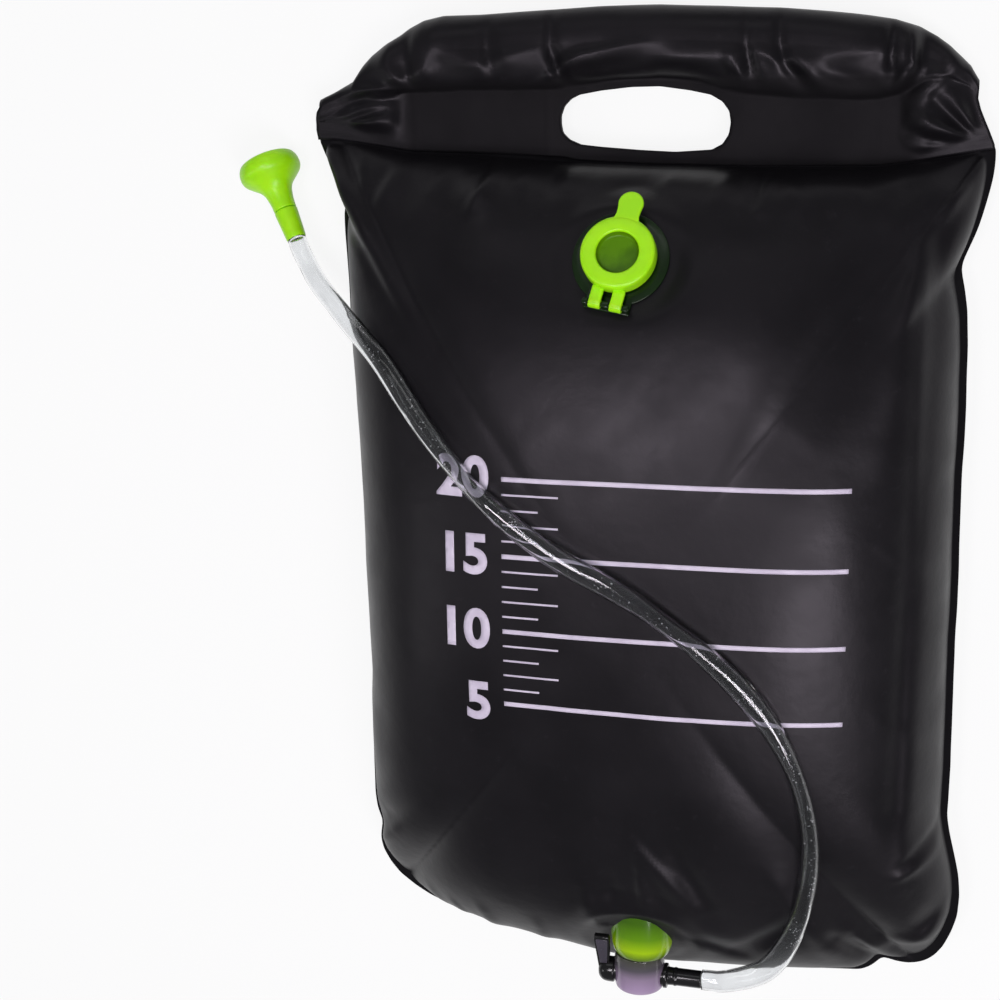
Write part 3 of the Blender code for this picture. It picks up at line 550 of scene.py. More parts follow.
film_finish = vinyl("black_vinyl", 0.34)
# The handle's film carries painted shade on its welded flat zone.
handle_finish = vinyl("black_vinyl_handle", 0.34, welded_and_shaded=True)
back_finish = vinyl("black_vinyl_back", 0.42)
green_finish = moulded("lime_plastic", (0.42, 0.92, 0.004), (0.36, 0.84, 0.003), 0.33,
                       Subsurface_Weight=0.15, Subsurface_Radius=(0.4, 1.0, 0.1), Subsurface_Scale=0.002)
flange_finish = moulded("green_soft_plastic", (0.006, 0.022, 0.003), (0.004, 0.015, 0.002), 0.2, see=0.1,
                        Specular_IOR_Level=0.35)
# Painted highlight: the ramp darkens the spout towards its root and paints a bright band near its mouth.
spout_finish = painted_light_ramp("spout_green_plastic_painted_highlight", (-0.25, -0.278), [
    (0, (0.06, 0.17, 0.002)), (0.4, (0.15, 0.36, 0.003)), (0.72, (0.44, 0.72, 0.004)),
    (0.88, (0.2, 0.36, 0.01)), (1, (0.09, 0.13, 0.03))], 0.16, 0.25)
plug_finish = moulded("cap_plug_plastic", (0.095, 0.24, 0.002), (0.06, 0.16, 0.002), 0.24,
                      Specular_IOR_Level=0.2)
# Painted reflection: the ramp runs from dark grey-green by the spout to lilac at the tap body's end.
body_finish = painted_light_ramp("smoky_plastic", (-0.278, -0.3023), [
    (0, (0.08, 0.085, 0.06)), (0.3, (0.12, 0.11, 0.13)), (0.55, (0.38, 0.29, 0.42)),
    (0.85, (0.5, 0.37, 0.57)), (1, (0.6, 0.47, 0.66))], 0.1, 0.3)
black_finish = moulded("black_moulded_plastic", (0.008, 0.008, 0.009), (0.006, 0.006, 0.006), 0.14)
lever_finish = moulded("lever_face_plastic", (0.06, 0.052, 0.07), (0.05, 0.045, 0.06), 0.24)
rubber_finish = moulded("black_rubber", (0.02, 0.02, 0.02), (0.014, 0.014, 0.014), 0.55)
hose_finish = moulded("clear_vinyl_tube", (0.93, 0.94, 0.95), (0.88, 0.89, 0.9), 0.04, see=1.0, ior=1.4)
# The drops' white colour is painted sparkle.
drop_sparkle_finish = moulded("water_drops_painted_sparkle", (0.95, 0.95, 0.97), (0.9, 0.9, 0.93), 0.05, see=0.25)
ink_finish = moulded("pale_ink", (0.66, 0.6, 0.72), (0.56, 0.5, 0.62), 0.42)


# Camera: above the bag, 15 degrees to its right and 14 towards its handle, a metre off

def make_camera():
    side, lift, roll, distance = math.radians(15), math.radians(14), math.radians(-0.8), 1.0
    aim = np.array([-0.087, 0.008, 0.05])
    back = np.array([math.sin(side) * math.cos(lift), math.sin(lift), math.cos(side) * math.cos(lift)])
    right = np.array([math.cos(side), 0, -math.sin(side)])
    up = np.cross(back, right)
    right, up = right * math.cos(roll) + up * math.sin(roll), up * math.cos(roll) - right * math.sin(roll)
    lens = bpy.data.cameras.new("camera")
    lens.sensor_width, lens.lens = 36, 58.07
    lens.clip_start, lens.clip_end = 0.05, 20
    made = in_scene("camera", lens)
    turn = Matrix(np.column_stack([right, up, back]).tolist()).to_4x4()
    made.matrix_world = Matrix.Translation((aim + distance * back).tolist()) @ turn
    bpy.context.scene.camera = made


make_camera()


# The hose: a clear soft tube on the CAD's own route, flattened here and there

hose_route = np.array([
    (46, -294.3, 68.2), (56, -294.3, 68.2), (85, -279, 75), (102, -248, 85.5), (111, -210, 93.5),
    (112, -172, 102), (104, -133, 111), (84, -94, 117), (48, -57, 120.3), (6, -28, 121), (-40, -4, 120.3),
    (-82, 27, 116.5), (-118, 64, 106), (-150, 100, 87), (-181, 122, 62), (-205, 141, 43),
    (-217.6, 157, 33.3), (-221.87, 165.74, 31.07),
])
hose_widths = np.array([
    (0, 6.3), (0.02, 7.4), (0.06, 7.5), (0.11, 6.8), (0.17, 5.7), (0.24, 5.4), (0.3, 4.9), (0.33, 5.8),
    (0.38, 7.2), (0.43, 6.7), (0.47, 5), (0.52, 6.6), (0.58, 7), (0.65, 6.3), (0.69, 4.9), (0.74, 6.4),
    (0.8, 6.9), (0.86, 6.6), (0.93, 6.1), (1, 6),
])
hose_wall, hose_girth = 1.3, 37.0
hose_rings, hose_corners = 420, 40


def hose_line(count):
    """Even steps along the route: centripetal Catmull-Rom between its inner points, with straight ends."""
    level = [hose_route[:-3, None], hose_route[1:-2, None], hose_route[2:-1, None], hose_route[3:, None]]
    knots = [np.zeros((len(hose_route) - 3, 1, 1))]
    for before, after in zip(level, level[1:]):
        knots.append(knots[-1] + np.sqrt(norm(after - before, axis=2, keepdims=True)))
    t = knots[1] + (knots[2] - knots[1]) * np.linspace(0, 1, 24, endpoint=False)[None, :, None]
    for spans in ((0, 1), (1, 2), (2, 3)), ((0, 2), (1, 3)), ((1, 2),):
        shares = [(t - knots[a]) / (knots[b] - knots[a]) for a, b in spans]
        level = [(1 - u) * before + u * after for u, before, after in zip(shares, level, level[1:])]
    inner = level[0].reshape(-1, 3)
    line = np.concatenate([hose_route[:1], inner, hose_route[-2:]])
    along = np.concatenate([[0], np.cumsum(norm(np.diff(line, axis=0), axis=1))])
    even = np.linspace(0, along[-1], count)
    return np.stack([np.interp(even, along, line[:, axis]) for axis in range(3)], 1), along[-1]


def hose_frames(count):
    """The tube's middle line, its length, two sideways directions, half width, half height and share."""
    line, length = hose_line(count)
    way = np.gradient(line, axis=0)
    way /= norm(way, axis=1, keepdims=True)
    side = np.cross(way, (0, 0, 1.0))
    side /= norm(side, axis=1, keepdims=True)
    share = np.linspace(0, 1, count)
    wide = np.interp(share, *hose_widths.T)
    wide = np.convolve(np.pad(wide, 6, "edge"), np.ones(13) / 13, "valid")
    tall = np.clip(hose_girth / wide, 4.7, 6.4)
    return line, length, side, np.cross(side, way), wide, tall, share


def hose_section(angle, wide, tall, share):
    """Offsets of the tube's wall: an oval with two shallow lengthwise creases that wander round it."""
    turn = 5.5 * np.sin(share * 7.0) + 9 * share
    crease = 1 - 0.05 * np.exp(-((np.sin((angle - turn) / 2) / 0.22) ** 2))
    crease = crease - 0.04 * np.exp(-((np.sin((angle + 0.7 * turn + 2) / 2) / 0.18) ** 2))
    return wide * np.cos(angle) * crease, tall * np.sin(angle) * crease


def make_hose(drops):
    """Two oval walls, one inside the other, joined by rims at both ends."""
    line, length, side, lift, wide, tall, share = hose_frames(hose_rings)
    angle = np.linspace(0, math.tau, hose_corners, endpoint=False)
    walls = []
    for thickness in (0, hose_wall):
        radii = wide[:, None] - thickness, tall[:, None] - thickness
        across, up = hose_section(angle, *radii, share[:, None])
        walls.append(line[:, None] + across[..., None] * side[:, None] + up[..., None] * lift[:, None])
    rows = np.concatenate([walls[0], walls[1][::-1], walls[0][:1]])
    tube = surface("clear_hose", rows * MM, quads(len(rows), hose_corners, True), hose_finish, "bag")
    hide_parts("shower_hose")


def make_drops():
    """Small drops on the tube's inner wall, coloured white as painted sparkle: one low ball, copied by
    arrays to seeded places.
    """
    rng = np.random.default_rng(11)
    count, places, inset = 230, 1200, 0.93
    line, _, side, lift, wide, tall, _ = hose_frames(places)
    clusters = np.array([0.13, 0.2, 0.27, 0.33, 0.38, 0.42, 0.5, 0.56, 0.63, 0.7, 0.76, 0.83])
    at = np.clip(rng.choice(clusters, count) + rng.normal(0, 0.02, count), 0.03, 0.97)
    index = (at * (places - 1)).astype(int)
    angle = rng.normal(math.pi * 0.42, 0.55, count)
    size = rng.uniform(0.16, 0.5, count)
    across = (wide[index] - hose_wall - size) * np.cos(angle) * inset
    up = (tall[index] - hose_wall - size) * np.sin(angle) * inset
    centre = line[index] + across[:, None] * side[index] + up[:, None] * lift[index]
    ball, faces = lathe([(0, -1), (0.7, -0.7), (1, 0), (0.7, 0.7), (0, 1)], 8)
    points = centre[:, None] + ball[None] * size[:, None, None]
    cells = faces[None] + (np.arange(count) * len(ball))[:, None, None]
    drops = surface("hose_drops", points * MM, cells.reshape(-1, 4), drop_sparkle_finish, "bag")
    return drops


make_hose(make_drops())


# The two tank films

def make_front():
    """The front film, with a hole under the filler where all corners of a face lie close to its middle."""
    s, t = np.meshgrid(crowded(190, edge_s), crowded(246, edge_t))
    x, y, z = front_level(s, t)
    faces = quads(*s.shape)
    away = seat_distance(x, y, filler_at, filler_tilt).ravel()
    faces = faces[away[faces].max(1) > filler_hole]
    sheet = surface("bag_front_film", np.stack([x, y, z], -1) * MM, faces, film_finish, "bag", closed=False)
    walled(sheet, film)
    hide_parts("bag_front_panel")


def make_back():
    """The back film hangs from the weld to a flat patch, with soft folds where it leaves the ground."""
    s, t = np.meshgrid(crowded(120, edge_s), crowded(150, edge_t))
    x, y = plan(s, t)
    full = np.clip(1.9 * fullness(s, t), 0, 1)
    z = (rim_at(y) - film) * (1 - full)
    folds = 1.6 * (1 + noise(x / 15, y / 15, 21)) * np.sin(math.pi * full) ** 2
    flat = 0.35 * np.clip(noise(x / 50, y / 50, 22), 0, 1) * full
    points = np.stack([x, y, np.maximum(z - 0.6 * folds, 0) + flat], -1) * MM
    sheet = surface("bag_back_film", points, quads(*s.shape)[:, ::-1], back_finish, "bag", closed=False)
    walled(sheet, film)
    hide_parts("bag_back_panel")


make_front()
make_back()


# The handle: one sheet folded over the tank's edge, its hem puffed, its middle welded flat

sleeve_half, sleeve_top, hem_thick, hem_end = 201.0, 301.0, 27.0, 0.24
weld_thick, ear_thick, hem_roll = 3.4, 22.0, 1.45
slot_y, slot_half_x, slot_half_y = 238.0, 52.0, 18.0
sleeve_level = rim_at_handle + 0.15
hem_full, hem_power, ear_left, ear_right, ear_blend = 0.62, 0.62, 150, 139, 20
hem_end_length, weld_line_left, weld_line_right, weld_line_wide = 60, -146, 134, 1.8
slot_line_middle, slot_line_half, edge_gap_front, edge_gap_back = -4, 58, 0.6, 1.5

# The handle's edges in the photograph: its fold, the seam on the tank, how far its ears reach at each y,
# the hem's lower edge and the slot
fold_line = np.array([
    (-201, 250), (-195.5, 254), (-189, 261), (-182.5, 270), (-176, 276), (-166, 282.6), (-156, 287.6),
    (-150, 291.5), (-140, 296), (-127, 298.5), (-103, 298.7), (-66, 300.2), (-30, 301.4), (5, 301.3),
    (40, 299.9), (74, 297.8), (102, 295), (124, 292.4), (141, 290.2), (158, 286), (171, 280.5), (180, 275.5),
    (188, 269.5), (195, 264), (201, 256),
])
seam_line = np.array([
    (-201, 226), (-190, 226), (-150, 219), (-110, 217.5), (-60, 215.5), (-45, 213), (0, 210.5), (60, 208.8),
    (133, 209), (160, 212), (185, 216), (201, 218),
])
left_ear = np.array([
    (200, 196), (213.5, 205.8), (220, 208.8), (226, 210.4), (232, 211), (238, 210.8), (243, 209.6),
    (247, 207), (251, 202.5), (255, 197),
])
right_ear = np.array([
    (206, 197), (215, 196.6), (221, 195.4), (228, 192.4), (234, 189.6), (240, 187), (246, 185.2),
    (256, 185.6), (262, 186),
])
hem_low = np.array([
    (-201, 236), (-190, 240), (-168, 250), (-152, 254), (-117, 254.5), (-80, 253.5), (-60, 254), (-44, 257),
    (-19, 259.5), (5, 260), (28, 257.5), (42, 253), (56, 249.5), (87, 247), (115, 246), (131, 246.5),
    (150, 251), (170, 256), (185, 250), (201, 240),
])
slot_outline = np.array([
    (-55, 234), (-55, 239), (-53, 244.5), (-49, 248.6), (-44, 251), (-31, 253.2), (-13, 255), (5, 255.2),
    (23, 252.6), (35, 250), (42, 246), (46, 240.5), (47, 234), (46, 227.5), (42.5, 222), (36, 218.6),
    (14, 217.4), (-7, 218.6), (-31, 220.6), (-43, 222), (-50, 225), (-54, 229),
])

hem_folds = [
    (-60, 282, -56, 268, 3, 4, -3.2, 0.4), (-57, 270, -49, 255, 3.5, 6, -3.6, 0.3),
    (-64, 259, -42, 272, 4, 6, 2.8, -0.3), (-42, 273, 4, 281, 5, 7, 2.8, -0.4),
    (-34, 266, 0, 271, 5, 7, -2, 0), (4, 272, 50, 272, 8, 8, 2.4, 0.2), (48, 270, 54, 257, 5, 3, 2.6, 0.3),
    (57, 275, 61, 257, 2.2, 3.5, -3.8, -0.3), (74, 279, 78, 268, 2.5, 4, -2.8, 0.2),
    (78, 268, 88, 256, 4, 6, -3.4, 0.2), (68, 272, 84, 266, 5, 6, 2.6, 0.2),
    (86, 266, 101, 253, 5, 7, 3, 0.3), (98, 270, 128, 274, 7, 6, 2.8, 0.2),
    (104, 261, 124, 256, 4, 6, -2.6, 0), (129, 279, 143, 279, 3, 3, 2.6, 0),
    (144, 278, 149, 267, 3, 3, 3.2, 0.3), (148, 266, 139, 250, 3, 4, 3, 0.3),
    (137, 273, 138, 260, 2.5, 4, -3.8, 0), (156, 281, 154, 262, 3.5, 5, -3, 0.2),
    (153, 260, 145, 249, 4, 3, -2.4, 0), (-130, 279, -101, 269, 7, 8, 2.4, 0.2),
    (-100, 270, -68, 277, 8, 6, 2.4, -0.2), (-98, 281, -93, 262, 4, 6, -2.4, 0.3),
    (-126, 258, -84, 259, 5, 5, 1.4, 0), (-149, 254, -186, 256, 3, 6, 3, 0.3),
    (-148, 251, -192, 249, 2.5, 5, -3.2, 0), (-152, 260, -168, 276, 4, 6, 2.8, 0.3),
    (-146, 262, -150, 280, 4, 6, -2.6, 0.2), (-138, 261, -132, 278, 5, 7, 2, 0.2),
    (-207, 232, -160, 238, 2.5, 5, 3.2, 0.2), (-206, 229, -158, 227, 2, 4, -3.2, 0),
    (-205, 227, -168, 221, 2, 4, 2.8, 0.2), (-207, 234, -176, 247, 2.5, 5, 2.8, -0.2),
    (-207, 233, -166, 243, 2, 3, -2.8, 0), (190, 218, 150, 238, 3, 6, 3.6, 0.3),
    (189, 217, 146, 228, 2, 4, -3.4, 0), (189, 222, 172, 246, 3, 5, 3.2, 0.2),
    (189, 221, 162, 245, 2, 4, -3.2, 0), (188, 216, 148, 218, 2, 3, 2.4, 0.2),
    (187, 226, 183, 254, 3, 5, -2.8, 0.2), (160, 252, 176, 268, 4, 6, 2.8, 0.2),
    (166, 262, 150, 284, 4, 6, -2.2, 0.2),
]


# The slot's edge by its angle on a unit square about its own middle
slot_middle = (slot_outline.max(0) + slot_outline.min(0)) / 2
slot_angle, slot_edge = by_angle(slot_outline, 8, slot_middle, (slot_half_x, slot_half_y))


def round_slot(x, y):
    """The slot's rectangle of grid lines drawn onto the slot's edge, less and less away from it."""
    across, along = x / slot_half_x, (y - slot_y) / slot_half_y
    square = np.maximum(np.maximum(abs(across), abs(along)), 1e-9)
    angle = np.arctan2(along, across)
    to_x = np.interp(angle, slot_angle, slot_edge[:, 0], period=math.tau)
    to_y = np.interp(angle, slot_angle, slot_edge[:, 1], period=math.tau)
    away = np.hypot(np.clip(abs(x) - slot_half_x, 0, None), np.clip(abs(y - slot_y) - slot_half_y, 0, None))
    weight = 1 - ease(0, np.where(y < slot_y, 9, 20), away)
    return x + weight * (to_x - x / square), y + weight * (to_y - slot_y - (y - slot_y) / square)


def hem_radius(x):
    """Half the hem's thickness, which falls to a share of it at both ends."""
    share = ease(-sleeve_half, hem_end_length - sleeve_half, -abs(x))
    return hem_thick / 2 * (hem_end + (1 - hem_end) * share)


def sleeve_half_gap(x, y, top, low, front):
    """Half the sleeve's thickness: a puffed hem and ears round the welded middle, with puckers in front.

    The hem rises from its lower edge as 1 - (1 - share)^2 to a power, then keeps its height to the fold.
    """
    edge = np.interp(x, *hem_low.T) + front * 1.2 * noise(x / 16, 0 * x, 31, 2)
    rise = np.clip((y - edge) / (hem_full * np.maximum(top - hem_roll * hem_radius(x) - edge, 4)), 0, 1)
    hem = (1 - (1 - rise) ** 2) ** hem_power
    ear_edge = np.where(x < 0, ear_left, ear_right) + 2 * noise(y / 12, 0 * y, 32, 2)
    ear = ease(ear_edge - 3, ear_edge + ear_blend, abs(x)) * ease(0, 16, y - low)
    puff = np.maximum(hem * 2 * hem_radius(x), ear * ear_thick * hem_radius(x) / (hem_thick / 2))
    edge_gap = edge_gap_back + (edge_gap_front - edge_gap_back) * front
    thin = edge_gap + (weld_thick / 2 - edge_gap) * ease(0, 6, y - low)
    base = np.maximum(2 * thin, puff) / 2 + film
    loose = ease(weld_thick + 0.6, 11, puff)
    folds = ridges(x, y, hem_folds) * front + 0.7 * noise(x / 19, y / 24, 33)
    from_slot = abs(x - slot_line_middle) - slot_line_half
    from_ear = x - np.where(x < 0, weld_line_left, weld_line_right)
    line = np.exp(-((from_slot / weld_line_wide) ** 2)) + np.exp(-((from_ear / weld_line_wide) ** 2))
    tight = (1 - loose) * (0.3 * noise(x / 11, y / 11, 34, 2) + 0.5 * line)
    return np.maximum(base + folds * loose + tight * front, thin + film)


def sleeve_faces(rows, columns, low, high, first, last):
    """The grid of both leaves without the slot, then the slot's wall, the low edges' strip and both ends.

    The slot lies between two rows of each leaf, low and high, and two columns, first and last.
    """
    grid = np.arange(rows * columns).reshape(rows, columns)
    hole = np.zeros((rows - 1, columns - 1), bool)
    hole[low:high, first:last] = True

    def slot_ring(leaf):
        return np.concatenate([leaf[low, first:last], leaf[low:high, last],
                               leaf[high, last:first:-1], leaf[high:low - 1:-1, first]])

    half_way = rows // 2 + 1
    left = bridge(grid[:half_way, 0], grid[::-1, 0][:half_way])
    return np.concatenate([
        quads(rows, columns)[~(hole | hole[::-1]).ravel()], bridge(slot_ring(grid), slot_ring(grid[::-1])),
        bridge(grid[0], grid[-1]), left, left + columns - 1])


def make_handle():
    """Leaf rows run from the low edge to the fold and back, over a half turn of fold rows between."""
    inner = np.linspace(-1, 1, 41) * slot_half_x
    outer = np.linspace(slot_half_x, sleeve_half, 76)[1:]
    x = np.concatenate([-outer[::-1], inner, outer])
    beside = np.linspace(slot_y - slot_half_y, slot_y + slot_half_y, 23)
    below = np.linspace(beside[0] - 10, beside[0], 9)
    above = np.linspace(beside[-1], sleeve_top - hem_thick / 2, 30)
    leaf = np.concatenate([below, beside[1:], above[1:]])
    top = np.interp(x, *fold_line.T) + 0.5 * noise(x / 28, 0 * x, 35)
    low = np.interp(x, *seam_line.T)
    fold_y = top - hem_roll * hem_radius(x)
    knots = np.array([0, len(below) - 1, len(below) + len(beside) - 2, len(leaf) - 1])
    near = 1 - ease(slot_half_x, slot_half_x + 40, abs(x))
    slot_low = near * beside[0] + (1 - near) * (low + 12)
    slot_high = near * beside[-1] + (1 - near) * np.minimum(beside[-1], low + 0.5 * (fold_y - low))
    share = np.interp(leaf, leaf[knots], [0, 1, 2, 3])[:, None]
    plan_y = np.select([share < 1, share < 2], [
        low + (slot_low - low) * share, slot_low + (slot_high - slot_low) * (share - 1)],
        slot_high + (fold_y - slot_high) * (share - 2))
    plan_x = np.broadcast_to(x, plan_y.shape)
    reach = np.where(plan_x < 0, np.interp(plan_y, *left_ear.T), np.interp(plan_y, *right_ear.T))
    stretch = 1 + (reach / sleeve_half - 1) * ease(110, sleeve_half, abs(plan_x))
    plan_x, plan_y = round_slot(plan_x * stretch, plan_y)
    front = sleeve_half_gap(plan_x, plan_y, top, low, 1.0)
    back = sleeve_half_gap(plan_x, plan_y, top, low, 0.0)
    turn = np.linspace(-math.pi / 2, math.pi / 2, 14)[1:-1, None]
    half = np.where(turn > 0, front[-1], back[-1])
    fold_x = np.broadcast_to(plan_x[-1], half.shape)
    rows_x = np.concatenate([plan_x, fold_x, plan_x[::-1]])
    rows_y = np.concatenate([plan_y, plan_y[-1] + hem_roll * hem_radius(x) * np.cos(turn), plan_y[::-1]])
    rows_z = np.concatenate([-back, half * np.sin(turn), front[::-1]])
    points = np.stack([rows_x, rows_y, sleeve_level + rows_z], -1)
    faces = sleeve_faces(*rows_x.shape, *knots[1:3], len(outer), len(outer) + len(inner) - 1)
    sheet = surface("handle_film", points * MM, faces, handle_finish, "bag")
    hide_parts("handle_sleeve")


make_handle()


# Level scale: plain lines and numbers, a fraction of a millimetre thick on the film

scale_left, scale_right, scale_top, scale_pitch = -70, 128, 36, 46
ink_lift, ink_thick = 0.22, 0.12


def on_film(shell):
    """A plan shell lifted onto the front film, a little above it."""
    x, y = shell[0].T
    _, _, z = front_level(*shares_at(x, y))
    return np.stack([x, y, z + ink_lift], -1), shell[1]


def strip(length, middle, half):
    """A line of the scale from its left end: its length, its middle's y and half its width."""
    across = np.linspace(scale_left, scale_left + length, int(length / 2))
    x, y = np.meshgrid(across, np.linspace(middle - half, middle + half, 4))
    return np.stack([x, y], -1).reshape(-1, 2), quads(*x.shape)


def numeral(text, size, x, y):
    """A number as flat triangles: Blender's own letter outlines, cut small enough to follow the film."""
    curve = bpy.data.curves.new("number", "FONT")
    curve.body, curve.size, curve.offset = text, size * MM, 0.035 * size * MM
    curve.align_x, curve.resolution_u = "RIGHT", 6
    source = in_scene("number", curve)
    bpy.context.view_layer.update()
    mesh = bpy.data.meshes.new_from_object(source.evaluated_get(bpy.context.evaluated_depsgraph_get()))
    bpy.data.objects.remove(source)
    cut = bmesh.new()
    cut.from_mesh(mesh)
    bmesh.ops.triangulate(cut, faces=cut.faces)
    for _ in range(3):
        long_edges = [edge for edge in cut.edges if edge.calc_length() > 3.5 * MM]
        bmesh.ops.subdivide_edges(cut, edges=long_edges, cuts=1, use_grid_fill=False)
        bmesh.ops.triangulate(cut, faces=cut.faces)
    cut.to_mesh(mesh)
    cut.free()
    flat, corners = np.empty(3 * len(mesh.vertices), np.float32), np.empty(len(mesh.loops), np.int32)
    mesh.vertices.foreach_get("co", flat)
    mesh.loops.foreach_get("vertex_index", corners)
    return flat.reshape(-1, 3)[:, :2].astype(float) / MM + (x, y), corners.reshape(-1, 3)


def make_scale():
    """Four numbered lines, with four short ones below each of the first three. They measure nothing."""
    parts = []
    for index, text in enumerate(("20", "15", "10", "5")):
        y = scale_top - scale_pitch * index
        parts.append(strip(scale_right - scale_left, y, 1.4))
        parts.append(numeral(text, 33, scale_left - 8, y - 11))
        if index < 3:
            for step, length in enumerate((34, 22, 34, 22), 1):
                parts.append(strip(length, y - scale_pitch / 5 * step, 0.6))
    points, faces = together(*map(on_film, parts))
    made = surface("level_scale", points * MM, faces, ink_finish, "bag", closed=False)
    walled(made, ink_thick)


make_scale()


# Filler: flange, neck and hinge bar on the bag, cap with its plug, tab and legs on the hinge

filler_axes = (filler_at, (0.981627, -0.172932, 0.080639), (0, 0.422618, 0.906308))
hinge_y, hinge_z = -29.5, 5.5


def make_filler():
    """A turned flange and neck, with a softened pad, three lugs and a round bar at the hinge."""
    neck = turned([
        (13.5, 0.3, 0), (28, 0.3, 0.4), (28, 1.5, 0.5), (24.5, 2.1, 0.8), (17.5, 2.1, 1.2),
        (17.5, 11.1, 0.8), (13.5, 11.1, 0.6), (13.5, 0.3, 0)])
    pad = block((-13.6, -32.1, 0.3), (13.6, -19.5, 2.1), 0.8)
    lug_ends = ((-13.6, -10.1), (-2.4, 2.4), (10.1, 13.6))
    lugs = [block((a, -31.4, 1.2), (b, -27.6, 7.4), 0.9) for a, b in lug_ends]
    pin = bar((-13.9, hinge_y, hinge_z), (13.9, hinge_y, hinge_z), 1.2)
    shells = [carried(shell, filler_axes) for shell in (neck, pad, *lugs, pin)]
    made = joined("filler_flange_and_neck", shells, flange_finish, "bag")
    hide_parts("filler_neck")


def make_cap():
    """A turned ring with a flat tab, two legs that end in eyes on the hinge bar, and a turned plug."""
    ring = turned([
        (12, 9.6, 0), (12.2, 13, 0.6), (12.9, 13.8, 0.5), (16, 14.05, 4), (20.4, 13.7, 1.6),
        (21.5, 12.2, 1.4), (21.5, 4.1, 0.6), (18.1, 4.1, 0.4), (18.1, 11.4, 0.3), (13.2, 11.4, 0.3),
        (12.6, 9.6, 0), (12, 9.6, 0)])
    angle = np.linspace(0, math.pi, 24)
    tab = np.column_stack([7.3 * np.cos(angle), 28.9 + 7.2 * np.sin(angle)])
    tab = np.concatenate([tab, [(-6.7, 25), (-6.6, 22), (-7.6, 18), (7.6, 18), (6.6, 22), (6.7, 25)]])
    shells = [carried(ring, filler_axes), carried(plate(tab, 2.2, 0.8), filler_axes, (0, 0, 12.5))]
    ends = [(middle - 3.5, middle + 3.5) for middle in (-6.25, 6.25)]
    legs = [block((a, -30.2, 5.7), (b, -19.6, 8.6), 0.9) for a, b in ends]
    eyes = [bar((a, hinge_y, hinge_z), (b, hinge_y, hinge_z), 2.9, 32, 0.25) for a, b in ends]
    shells += [carried(shell, filler_axes) for shell in legs + eyes]
    made = joined("cap_ring_and_tab", shells, green_finish, "cap")
    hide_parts("filler_cap")
    plug = turned([
        (0, 8.6, 0), (8, 8.9, 3), (11.4, 9.1, 1.2), (12.15, 12.4, 0), (12.6, 11.2, 0.2), (12.4, 7.4, 0.5),
        (0, 7.4, 0)])
    made = joined("cap_plug", [carried(plug, filler_axes)], plug_finish, "cap")


make_filler()
make_cap()


# Outlet: spout and tap body along the bag, key and spigot across it

outlet_axes = (outlet_at, (1, 0, 0), (0, -1, 0))
tap_at = (6.0, -294.3, 68.203)
tap_axes = (tap_at, (0, 0, -1), (1, 0, 0))
lever_x, lever_rise = -16.6, math.radians(20)
lever_axes = ((lever_x, *tap_at[1:]), (1, 0, 0), (0, -math.sin(lever_rise), math.cos(lever_rise)))
seat_axes = (outlet_at, (1, 0, 0), (0, math.sin(outlet_tilt), math.cos(outlet_tilt)))


def make_outlet():
    """A turned barrel, a turned disc tilted onto the film, and a turned body over the barrel's end."""
    barrel = turned([
        (13.3, 6.7, 0), (13.3, 7, 0.1), (17, 7, 2.4), (19.4, 1, 5), (20, -10, 4), (20, -27, 0.8),
        (13, -27, 0.5), (13, 6.6, 0.2), (13.3, 6.7, 0)], 7, 128)
    disc = turned([
        (19, -1.6, 0), (22.6, -1.6, 0.3), (22.6, -3.4, 0.5), (19, -3.4, 0), (19, -1.6, 0)], 5, 128)
    shells = [carried(barrel, outlet_axes, (1.5, 0, 0)), carried(disc, seat_axes)]
    made = joined("spout_barrel", shells, spout_finish, "bag")
    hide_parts("outlet_spout")
    body = turned([
        (0, 31.3, 0), (15.1, 31.3, 1.4), (15.5, 28.5, 2), (15.9, 18, 2), (16, 7.3, 0.8), (12.7, 7.3, 0.2),
        (12.7, -3, 0.6), (5.5, -3, 0.5), (5.5, 30.1, 0.5), (0, 30.1, 0)], 6, 128)
    made = joined("tap_body", [carried(body, outlet_axes)], body_finish, "bag")
    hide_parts("valve_housing")


def make_key():
    """A turned knob across the body and a plate for its lever, with a thin panel on the lever's face."""
    knob = turned([
        (0, -26.3, 0), (4.6, -26.1, 2.5), (7.4, -23.2, 2.5), (8, -20, 2), (8, -15.9, 0.8),
        (6.7, -15.7, 0.2), (6.7, 1, 0.5), (0, 1, 0)], 7, 72)
    blade = plate([(3.3, -3), (3.6, 4), (5.1, 29), (4.4, 30.8),
                   (-4.4, 30.8), (-5.1, 29), (-3.6, 4), (-3.3, -3)], 4, 0.9)
    shells = [carried(knob, tap_axes), carried(blade, lever_axes)]
    made = joined("tap_knob_and_lever", shells, black_finish, "key")
    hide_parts("tap_key")
    panel = plate([(2.3, 7), (3.9, 27.6), (3.4, 28.6), (-3.4, 28.6), (-3.9, 27.6), (-2.3, 7)], 0.9, 0.35)
    made = joined("lever_panel", [carried(panel, lever_axes, (0, 0, 1.75))], lever_finish, "key")


def make_spigot():
    """A turned pipe across the body, with a collar and a bead under the hose's end."""
    pipe = turned([
        (3.9, 3.3, 0), (6.7, 3.3, 0.4), (6.7, 15.8, 0.1), (7.8, 15.8, 0.5), (7.8, 18.2, 0.7),
        (5.7, 18.4, 0.6), (5.5, 22, 0.6), (6, 23.2, 0.5), (5.5, 24.4, 0.6), (5.5, 39.5, 0.6),
        (3.9, 39.7, 0.4), (3.9, 3.3, 0)], 6, 72)
    made = joined("hose_pipe", [carried(pipe, tap_axes)], black_finish, "bag")
    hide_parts("hose_spigot")


make_outlet()
make_key()
make_spigot()


# Spray head on the hose's end

head_axes = ((-222.0, 166.0, 31.0), (-0.898794, -0.438371, 0), (-0.427136, 0.875758, -0.224951))
face_radius, face_crown, face_fall = 16.2, 52.5, 1.8


